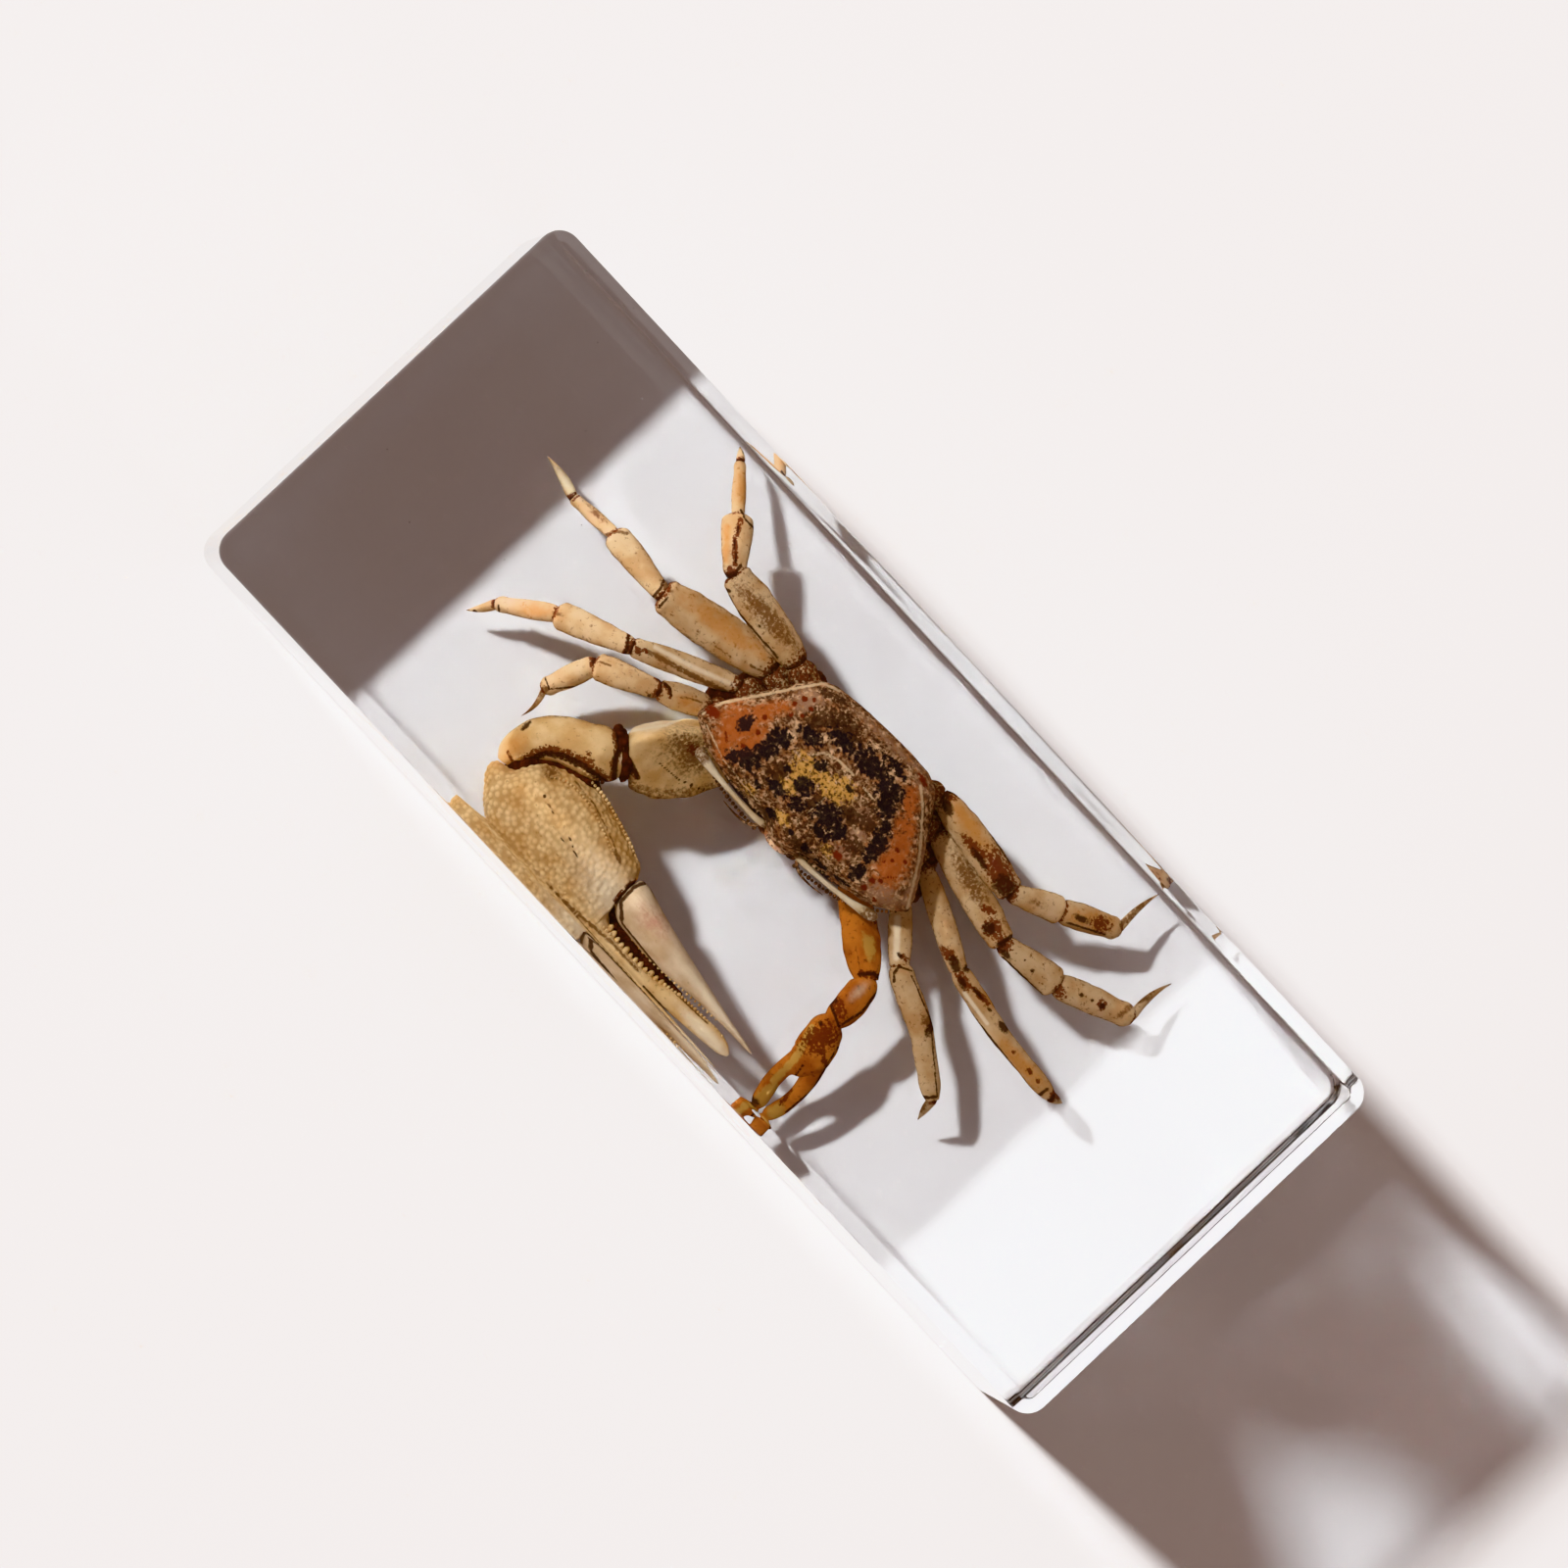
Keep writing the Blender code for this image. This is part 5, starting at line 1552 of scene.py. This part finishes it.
@dataclass
class BigClaw:
    """The great claw: a three-sided arm, a wrist that hooks round, a pebbled hand and two long fingers."""

    arm: tuple = (
        ((-6.8, 2.2, 10.9), 3.4, 3.2), ((-8.5, 0.6, 11.2), 5.4, 3.8), ((-10.8, -1.9, 11.9), 7.1, 4.4),
        ((-12.7, -4.2, 12.8), 7.0, 4.8), ((-13.8, -5.3, 13.4), 6.1, 4.9), ((-14.5, -5.95, 13.8), 4.9, 4.2),
        ((-14.9, -6.35, 13.9), 3.2, 3.0),
    )
    wrist: tuple = (
        ((-14.8, -7.1, 14.0), 2.8, 2.4), ((-15.3, -7.6, 14.0), 4.4, 3.6), ((-16.2, -8.1, 14.0), 5.1, 4.6),
        ((-18.1, -9.0, 14.0), 4.8, 5.0), ((-20.4, -10.4, 13.6), 4.3, 4.9), ((-21.8, -12.3, 12.9), 3.7, 4.3),
        ((-22.3, -14.2, 12.4), 2.5, 3.3), ((-22.1, -15.3, 12.2), 1.3, 2.0),
    )
    # The hand along X: place, back edge, front edge, half height
    hand: tuple = (
        (-22.7, -16.0, -16.6, 0.4), (-22.3, -15.7, -17.4, 1.2), (-21.6, -15.5, -18.1, 1.8),
        (-20.9, -15.2, -18.9, 2.3), (-20.3, -13.9, -19.4, 2.8), (-19.6, -12.5, -19.9, 3.15),
        (-18.6, -11.6, -20.4, 3.4), (-17.0, -10.95, -20.75, 3.6), (-14.0, -10.65, -20.9, 3.7),
        (-10.5, -11.3, -20.95, 3.4), (-7.8, -12.1, -20.95, 3.05), (-6.2, -12.8, -20.95, 2.7),
        (-5.6, -13.6, -20.95, 2.4), (-5.3, -16.2, -20.95, 2.1), (-5.0, -17.9, -20.95, 1.9),
        (-4.2, -18.5, -20.9, 1.7), (-2.0, -19.0, -20.7, 1.55), (1.0, -18.9, -20.5, 1.4),
        (2.8, -18.7, -20.35, 1.3), (4.6, -18.25, -20.15, 1.2), (7.5, -18.0, -19.85, 1.0),
        (10.1, -17.8, -19.55, 0.8), (11.6, -18.1, -19.3, 0.5), (12.3, -18.6, -18.95, 0.15),
    )
    hand_height: float = 12.2
    finger: tuple = (
        (-5.5, -14.4, -16.6, 1.2), (-5.1, -13.5, -17.0, 1.9), (-4.3, -13.45, -17.6, 2.3),
        (-2.0, -14.0, -17.95, 2.35), (2.0, -14.9, -17.95, 2.0), (4.6, -15.4, -17.65, 1.75),
        (7.0, -15.85, -17.4, 1.5), (10.0, -16.4, -17.25, 1.05), (12.2, -16.75, -17.2, 0.6),
        (13.2, -16.95, -17.2, 0.35), (13.6, -17.05, -17.15, 0.1),
    )
    finger_heights: tuple[float, float] = (13.0, 13.5)
    # Dried skin between the arm and the wrist, between the wrist and the hand, and in the gape
    skin: tuple = (
        (((-17.3, -5.3, 13.2), 0.4, 0.6), ((-16.7, -5.7, 13.4), 1.3, 2.6), ((-15.3, -6.7, 13.5), 1.9, 3.4),
         ((-13.9, -7.8, 13.4), 1.6, 2.8), ((-13.2, -8.4, 13.2), 0.5, 0.8)),
        (((-21.7, -15.4, 12.4), 0.6, 0.6), ((-20.9, -14.3, 12.5), 2.2, 2.2),
         ((-19.6, -12.8, 12.7), 2.7, 2.6), ((-17.4, -11.6, 12.9), 2.8, 2.7),
         ((-15.2, -11.0, 12.9), 2.2, 2.4), ((-14.0, -10.7, 12.9), 0.6, 0.7)),
        (((-5.8, -17.0, 11.6), 0.5, 0.6), ((-4.8, -17.7, 11.5), 1.3, 1.2), ((-1.5, -18.3, 11.5), 1.5, 1.2),
         ((2.4, -18.4, 11.5), 1.0, 1.0), ((5.2, -18.1, 11.6), 0.4, 0.5)),
    )
    slab_sides: int = 200
    slab_spacing: float = 0.13
    pebble_spacing: float = 0.46
    pebble_height: float = 0.14
    ridge_height: float = 0.45
    arm_marks: tuple = (
        # Painted light and shade on the arm's facets: the pale line along the ridge and the pale spot on the
        # facet towards the lamp are painted highlight; the umber spots on the facet turned away are painted
        # shade over its browner shell
        Streak(Tint.PALE, 0.3, ((-14.2, -0.3), (-15.0, -2.6), (-16.9, -5.4))),
        Spot(Tint.PALE, -16.0, -3.2, 0.9, 2.2, -25, 0.75),
        *spots(Tint.UMBER, (-11.8, -2.6, 2.6, 1.8, 0, 0.8), (-11.6, -3.2, 3.4, 2.6, 30, 0.6)),
        Spot(Tint.RUST, -11.6, -2.3, 0.7, 0.5),
        *streaks(Tint.SOOT, (0.16, ((-12.8, -5.5), (-10.4, -5.2), (-8.0, -4.1))),
                 (0.5, ((-18.1, -5.9), (-16.3, -7.2))), (0.45, ((-14.6, -7.4), (-13.2, -7.9)))),
        Streak(Tint.RUST, 0.7, ((-18.0, -6.0), (-16.2, -7.2), (-13.5, -7.9))),
    )
    wrist_marks: tuple = (
        *streaks(Tint.SOOT, (0.5, ((-18.1, -6.0), (-16.3, -7.2), (-16.0, -8.2), (-14.5, -9.7))),
                 (0.6, ((-14.8, -10.4), (-17.5, -10.8), (-19.5, -11.6), (-20.8, -12.6), (-21.4, -14.4))),
                 (0.24, ((-21.7, -14.3), (-21.3, -15.6), (-21.2, -16.7)))),
        *streaks(Tint.RUST, (0.7, ((-18.1, -6.2), (-16.4, -7.4), (-15.7, -8.6), (-14.5, -9.9))),
                 (0.95, ((-15.0, -10.2), (-17.5, -10.5), (-19.5, -11.3), (-21.0, -12.4), (-21.6, -14.2))),
                 (0.3, ((-23.3, -15.1), (-21.7, -15.6)))),
        # Painted highlight: a small pale spot where the wrist meets the arm
        Spot(Tint.PALE, -15.3, -7.7, 0.5, 0.4),
        Spot(Tint.AMBER, -23.2, -14.2, 0.9, 1.2),
        *spots(Tint.RUST, (-18.0, -9.7, 0.3, 0.25), (-17.2, -9.9, 0.25, 0.2)),
        Spot(Tint.SOOT, -23.9, -12.2, 0.25, 0.6),
    )
    hand_marks: tuple = (
        *streaks(Tint.SOOT, (0.1, ((-14.0, -16.2), (-13.0, -16.5), (-12.4, -16.9), (-11.5, -17.1))),
                 (0.08, ((-14.2, -16.9), (-13.2, -17.1))), (0.3, ((-5.4, -18.6), (3.4, -18.9)), 0.9),
                 (0.36, ((-5.6, -13.6), (-6.4, -15.0), (-6.2, -17.2), (-5.0, -18.1))),
                 (0.2, ((1.3, -20.8), (5.3, -20.8))),
                 (0.35, ((-21.0, -13.2), (-20.2, -12.6), (-18.4, -11.4), (-15.0, -11.0)), 0.9)),
        *spots(Tint.SOOT, (-16.3, -15.9, 0.22, 0.1), (-17.9, -15.4, 0.16, 0.16)),
        *spots(Tint.UMBER, (-17.0, -15.7, 0.5, 0.12), (-19.2, -13.4, 0.9, 0.9, 0, 0.75),
               (-9.2, -14.3, 0.7, 0.2, -20)),
        *streaks(Tint.UMBER, (0.24, ((-17.0, -12.4), (-14.0, -12.6), (-11.0, -13.5), (-8.8, -14.4)), 0.68),
                 (0.42, ((-12.0, -20.9), (-8.0, -20.6), (-4.0, -20.2), (0.0, -20.1)), 0.8),
                 (0.2, ((3.0, -19.1), (8.0, -18.8)), 0.8)),
        *spots(Tint.PALE, (-6.5, -17.2, 6.0, 2.4, -8, 0.75), (8.6, -19.6, 3.4, 0.6)),
        Streak(Tint.RUST, 0.5, ((-5.7, -13.5), (-6.5, -15.0), (-6.3, -17.2), (-5.1, -18.0))),
    )
    finger_marks: tuple = (
        *streaks(Tint.SOOT, (0.42, ((-5.5, -13.7), (-6.0, -15.0), (-5.9, -16.9), (-4.6, -18.0)), 0.9),
                 (0.2, ((-4.4, -18.2), (2.2, -18.7)), 0.9)),
        Spot(Tint.PALE, 7.0, -17.0, 6.0, 0.6, -3, 0.85),
        *streaks(Tint.UMBER, (0.14, ((3.0, -18.7), (11.6, -18.5)), 0.9),
                 (0.2, ((-4.8, -14.1), (2.0, -15.4)), 0.7)),
        Spot(Tint.ROSE, -2.5, -16.0, 2.4, 1.4, 0, 0.7),
    )

    def slab(self, sections: tuple, heights: tuple[float, float], squareness: float) -> Shell:
        """Close an upright slab along X through its sections.

        Args:
            sections: place, back edge, front edge and half height of each.
            heights: the middle's height at the first section and at the last.
            squareness: how far the section goes from an oval, at 0, towards a box.

        Returns:
            The shell.
        """
        rows = np.array(sections)
        places = lengths_along(rows)
        wanted = np.linspace(0, places[-1], round(places[-1] / self.slab_spacing))
        fine = smooth_through(places, rows, wanted)
        turn = np.linspace(0, math.tau, self.slab_sides, endpoint=False)
        shape = np.stack([np.cos(turn), np.sin(turn)], axis=1)
        shape = np.sign(shape) * np.abs(shape) ** (1 - squareness)
        centre, half = (fine[:, 1] + fine[:, 2]) / 2, np.maximum((fine[:, 1] - fine[:, 2]) / 2, THINNEST_SLAB)
        share = np.clip((fine[:, 0] - fine[0, 0]) / (fine[-1, 0] - fine[0, 0]), 0, 1)
        middle = heights[0] + share * (heights[1] - heights[0])
        x = np.repeat(fine[:, :1], self.slab_sides, axis=1)
        y = centre[:, None] + half[:, None] * shape[None, :, 0]
        z = middle[:, None] + np.maximum(fine[:, 3:4], THINNEST_SLAB) * shape[None, :, 1]
        points = np.stack([x, y, z], axis=2)
        return loft(points + self.ridge(points) * (0, 0, 1))

    def ridge(self, points: np.ndarray) -> np.ndarray:
        """Give the height of the ridge that runs along the hand's upper face, and of the unevenness.

        Args:
            points: places on the hand.

        Returns:
            The rise at each place, on an axis of its own.
        """
        share = np.clip((points[..., 0] + 20.8) / 13.5, 0, 1)
        away = np.abs(points[..., 1] + 16.0 + 2.0 * share)
        fade = np.clip((points[..., 0] + 21.5) / 2, 0, 1) * np.clip((-6.0 - points[..., 0]) / 5, 0, 1)
        rise = self.ridge_height * np.exp(-(away / 0.9) ** 2) * fade * (points[..., 2] > self.hand_height)
        return (rise + 0.06 * unevenness(points, 2.4, 5))[..., None]

    def build(self, shop: Workshop) -> None:
        """Make the claw's four shells, the skin of its joints and its rows of beads and teeth.

        Args:
            shop: the shared materials and trees.
        """
        arm = limb(self.arm, Section.WEDGE, sides=72)
        arm.paint(self.arm_marks)
        place_piece(dressed("big_claw_arm_shell", arm, shop.claw), "big_claw_shell", "big_claw_arm")
        wrist = limb(self.wrist, Section.OVAL, sides=80)
        wrist.paint(self.wrist_marks)
        place_piece(dressed("big_claw_wrist_shell", wrist, shop.claw), "big_claw_shell", "big_claw_wrist")
        hand = self.slab(self.hand, (self.hand_height, self.hand_height), 0.12)
        hand.paint(self.hand_marks)
        palm = dressed("big_claw_hand_shell", hand, shop.claw)
        # The pebbles flatten where the fixed finger starts, and stay faint along it
        mask = np.clip((-2.5 - hand.points[:, 0]) / 5.0, 0.12, 1)
        pebble(palm, shop, mask, self.pebble_spacing, self.pebble_height)
        place_piece(palm, "big_claw_shell", "big_claw_hand")
        finger = self.slab(self.finger, self.finger_heights, 0.05)
        finger.paint(self.finger_marks)
        movable = dressed("big_claw_finger_shell", finger, shop.finger)
        place_piece(movable, "big_claw_shell", "big_claw_finger")
        crust("claw_joint_skin", "big_claw_shell", self.skin, shop)
        self.build_rows(shop)

    def build_rows(self, shop: Workshop) -> None:
        """Set the beads along the hand's margins and the wrist's crest, and the teeth of both fingers.

        Args:
            shop: the shared materials and trees.
        """
        upper = ((-19.6, -12.6, 13.6), (-18.4, -11.6, 13.8), (-16.6, -10.95, 13.9), (-14.0, -10.7, 13.9),
                 (-10.5, -11.4, 13.6), (-7.8, -12.2, 13.3), (-6.2, -12.9, 13.0))
        second = ((-18.4, -13.4, 15.2), (-17.0, -12.5, 15.45), (-14.0, -12.3, 15.5), (-11.0, -13.1, 15.3),
                  (-8.6, -14.0, 15.05))
        lower = ((-12.0, -20.3, 14.0), (-8.0, -20.35, 13.6), (-4.0, -20.3, 13.1), (0.5, -20.2, 12.9))
        cutting = ((-4.0, -18.8, 13.3), (-2.0, -19.1, 13.2), (1.0, -19.0, 13.1), (3.0, -18.75, 13.0))
        fine = ((3.4, -18.6, 13.0), (5.0, -18.25, 12.9), (7.5, -18.05, 12.8), (10.6, -17.95, 12.6))
        finger = ((-3.8, -17.6, 13.2), (0.0, -18.0, 13.3), (4.0, -17.8, 13.4), (9.0, -17.35, 13.5))
        inner = ((-9.4, -19.5, 14.6), (-7.0, -19.3, 14.3), (-5.0, -19.2, 13.9), (-3.6, -19.1, 13.6))
        crest = ((-21.6, -14.2, 14.0), (-20.9, -12.6, 14.7), (-19.4, -11.5, 15.2), (-17.6, -10.8, 15.4),
                 (-15.8, -10.4, 15.3), (-14.5, -10.0, 15.0))
        # Name, line, marks, pitch, size at the start and at the end, stretch and direction
        rows = (
            ("palm_upper_beads", upper, self.hand_marks, 0.42, 0.42, 0.34, 1.0, (0, 0, 1)),
            ("palm_second_beads", second, self.hand_marks, 0.40, 0.34, 0.28, 1.0, (0, 0, 1)),
            ("palm_lower_beads", lower, self.hand_marks, 0.46, 0.36, 0.3, 1.0, (0, 0, 1)),
            ("wrist_crest_beads", crest, self.wrist_marks, 0.5, 0.5, 0.42, 1.0, (0, 0, 1)),
            ("palm_inner_beads", inner, self.hand_marks, 0.44, 0.42, 0.42, 1.0, (0, 0, 1)),
            ("fixed_finger_teeth", cutting, (), 0.62, 0.62, 0.5, 1.6, (0, 1, 0)),
            ("fixed_finger_fine_teeth", fine, (), 0.4, 0.36, 0.24, 1.2, (0, 1, 0)),
            ("movable_finger_teeth", finger, (), 0.5, 0.36, 0.22, 1.1, (0, 1, 0)),
        )
        for name, line, marks, pitch, start, end, stretch, direction in rows:
            beads = knob_row(name, line, shop, shop.claw, marks, Pitch=pitch * MM, Size_at_Start=start * MM,
                             Size_at_End=end * MM, Stretch=stretch, Direction=direction)
            place_piece(beads, "big_claw_shell")


@dataclass
class SmallClaw:
    """The small claw: an arm, a wrist, a narrow hand and two spoon-tipped fingers."""

    arm: tuple = (
        ((8.2, 1.1, 10.3), 2.4, 2.0), ((9.6, 0.1, 10.6), 3.0, 2.2), ((12.0, -1.5, 11.2), 3.5, 2.4),
        ((14.0, -2.9, 11.6), 3.5, 2.5), ((15.4, -3.9, 11.9), 2.9, 2.3), ((16.3, -4.5, 12.0), 2.0, 1.8),
    )
    wrist: tuple = (
        ((15.9, -4.2, 12.0), 1.6, 1.5), ((16.3, -4.9, 12.0), 2.6, 2.2), ((16.6, -6.2, 11.9), 3.0, 2.5),
        ((16.8, -7.6, 11.7), 3.0, 2.5), ((16.75, -8.9, 11.4), 2.5, 2.2), ((16.7, -9.6, 11.3), 1.8, 1.7),
    )
    hand: tuple = (
        ((16.7, -9.1, 11.3), 1.6, 1.5), ((16.8, -9.8, 11.2), 2.9, 2.3), ((17.1, -10.8, 10.8), 3.5, 2.7),
        ((17.5, -11.9, 10.3), 3.9, 2.7), ((17.8, -13.2, 9.7), 3.8, 2.3), ((17.6, -14.2, 9.1), 3.0, 1.9),
        ((17.15, -15.2, 8.5), 1.9, 1.5), ((17.1, -16.6, 7.7), 1.65, 1.3), ((17.5, -18.4, 6.7), 1.7, 1.2),
        ((17.9, -19.6, 6.0), 1.3, 0.9), ((18.15, -20.2, 5.7), 0.4, 0.4),
    )
    second_finger: tuple = (
        ((18.0, -11.6, 10.3), 1.6, 1.5), ((18.6, -12.8, 9.7), 2.0, 1.7), ((19.2, -14.2, 9.0), 1.9, 1.5),
        ((19.6, -15.8, 8.2), 1.6, 1.3), ((19.7, -17.4, 7.4), 1.5, 1.2), ((19.5, -18.8, 6.7), 1.5, 1.1),
        ((19.2, -19.8, 6.1), 1.0, 0.8), ((19.05, -20.15, 5.9), 0.3, 0.3),
    )
    marks: tuple = (
        *streaks(Tint.SOOT, (0.2, ((9.5, -2.0), (11.4, -3.4), (14.2, -5.1))),
                 (0.4, ((14.4, -5.3), (15.2, -4.3), (16.4, -4.0))),
                 (0.26, ((16.6, -4.5), (17.1, -7.4), (16.7, -9.6))),
                 (0.3, ((14.4, -9.1), (15.6, -9.6), (16.6, -10.0))),
                 (0.2, ((18.0, -11.4), (18.6, -13.6), (19.3, -16.0), (19.1, -19.2)), 0.9),
                 (0.22, ((16.9, -14.6), (17.3, -16.6), (17.6, -18.6)), 0.9)),
        *spots(Tint.RUST, (11.6, -0.4, 0.9, 0.6), (13.4, -0.9, 0.5, 0.4), (15.2, -8.8, 1.2, 0.6, -20),
               (16.2, -12.0, 1.2, 2.0, -10)),
        *spots(Tint.OCHRE, (13.0, -2.8, 1.7, 0.7, -30, 0.85), (16.8, -19.4, 0.9, 1.3),
               (18.4, -19.8, 0.7, 0.9)),
        *streaks(Tint.RUST, (0.7, ((14.4, -5.1), (15.3, -4.4), (16.5, -4.0))),
                 (0.5, ((17.0, -12.6), (18.3, -13.4))), (0.4, ((17.9, -17.4), (18.2, -19.0)))),
        # Painted highlight: a pale spot on the wrist
        Spot(Tint.PALE, 15.5, -6.4, 0.7, 1.6, 0, 0.55),
        *spots(Tint.SOOT, (14.5, -8.7, 0.4, 0.3), (15.2, -11.1, 0.25, 0.25), (16.4, -20.6, 0.6, 0.3)),
        Streak(Tint.OCHRE, 0.8, ((15.0, -12.0), (16.0, -15.0), (16.2, -18.0)), 0.9),
    )

    def build(self, shop: Workshop) -> None:
        """Make the small claw as one piece of four shells.

        Args:
            shop: the shared materials and trees.
        """
        shells = [limb(self.arm, Section.LENS), limb(self.wrist), limb(self.hand), limb(self.second_finger)]
        shell = merged(shells)
        shell.paint(self.marks)
        place_piece(dressed("small_claw_shell", shell, shop.small_claw), "small_claw_shell", "small_claw")


@dataclass
class Studio:
    """A white card floor, a directional key lamp, a soft surround and the camera above."""

    image_width: float = 144.9
    # The point of the top face at the image's middle, and the direction of the image's right-hand side
    aim: tuple[float, float, float] = (-3.44, 1.69, 28.0)
    right: tuple[float, float, float] = (0.6845, 0.7290, 0.0)
    lean: tuple[float, float] = (math.radians(4.7), math.radians(3.7))
    distance: float = 1100.0
    sensor: float = 36.0
    key_from_upright: float = math.radians(56)
    key_heading: float = math.radians(2.8)
    # In metres
    key_distance: float = 3.0
    key_spread: float = math.radians(6)
    key_strength: float = 8.1
    # A touch cooler than white
    key_colour: tuple[float, float, float] = (0.97, 0.99, 1.0)
    surround: str = "F0D1C6"
    surround_strength: float = 0.46
    # In millimetres
    floor_gap: float = 0.15
    # In metres
    floor_size: float = 8.0
    floor_depth: float = 0.02

    def build(self) -> None:
        """Make the floor, the lights and the camera."""
        self.build_floor()
        self.build_lights()
        self.build_camera()

    def build_floor(self) -> None:
        """Lay a wide floor just under the block, so that air lies between them as it does on a table."""
        half = self.floor_size / 2
        top, bottom = -self.floor_gap * MM, -self.floor_depth
        signs = ((-1, -1), (1, -1), (1, 1), (-1, 1))
        corners = [(x * half, y * half, z) for z in (bottom, top) for x, y in signs]
        faces = [(3, 2, 1, 0), (4, 5, 6, 7), (0, 1, 5, 4), (1, 2, 6, 5), (2, 3, 7, 6), (3, 0, 4, 7)]
        mesh = bpy.data.meshes.new("floor")
        mesh.from_pydata(corners, [], faces)
        floor = bpy.data.objects.new("floor", mesh)
        mesh.materials.append(MattFloor().build())
        bpy.context.scene.collection.objects.link(floor)

    def build_lights(self) -> None:
        """Hang the key lamp off the block's end, and set the soft surround and how bent light is traced."""
        slant = math.sin(self.key_from_upright)
        travel = Vector((slant * math.cos(self.key_heading), slant * math.sin(self.key_heading),
                         -math.cos(self.key_from_upright)))
        lamp = bpy.data.lights.new("key", "AREA")
        lamp.shape = "DISK"
        lamp.size = 2 * self.key_distance * math.tan(self.key_spread / 2)
        lamp.energy = self.key_strength * math.pi * self.key_distance ** 2
        lamp.color = self.key_colour
        key = bpy.data.objects.new("key", lamp)
        key.location = -travel * self.key_distance
        key.rotation_euler = travel.to_track_quat("-Z", "Y").to_euler()
        bpy.context.scene.collection.objects.link(key)
        world = bpy.data.worlds.new("surround")
        world.use_nodes = True
        background = world.node_tree.nodes["Background"]
        background.inputs["Color"].default_value = linear(self.surround)
        background.inputs["Strength"].default_value = self.surround_strength
        scene = bpy.context.scene
        scene.world = world
        scene.view_settings.view_transform = "Khronos PBR Neutral"
        scene.cycles.blur_glossy = 0.0
        scene.cycles.use_guiding = True
        scene.cycles.sample_clamp_indirect = 0.0

    def build_camera(self) -> None:
        """Aim the camera down at the block along the photograph's line of sight."""
        back = Vector((-math.tan(self.lean[0]), -math.tan(self.lean[1]), 1.0)).normalized()
        level = Vector(self.right)
        across = (level - back * level.dot(back)).normalized()
        lens = bpy.data.cameras.new("camera")
        lens.sensor_width = self.sensor
        lens.lens = self.sensor * self.distance / self.image_width
        lens.clip_start, lens.clip_end = 0.01, 20.0
        camera = bpy.data.objects.new("camera", lens)
        camera.matrix_world = Matrix.Translation((Vector(self.aim) + back * self.distance) * MM) @ Matrix(
            (across, back.cross(across), back)).transposed().to_4x4()
        bpy.context.scene.collection.objects.link(camera)
        bpy.context.scene.camera = camera


def main() -> None:
    """Build the studio and every sub-assembly."""
    logging.basicConfig(level=logging.INFO, format="%(name)s: %(message)s")
    Studio().build()
    shop = Workshop.opened()
    ResinBlock().build(shop)
    CrabBody().build(shop)
    BigClaw().build(shop)
    SmallClaw().build(shop)
    WalkingLegs().build(shop)


if __name__ == "__main__":
    main()
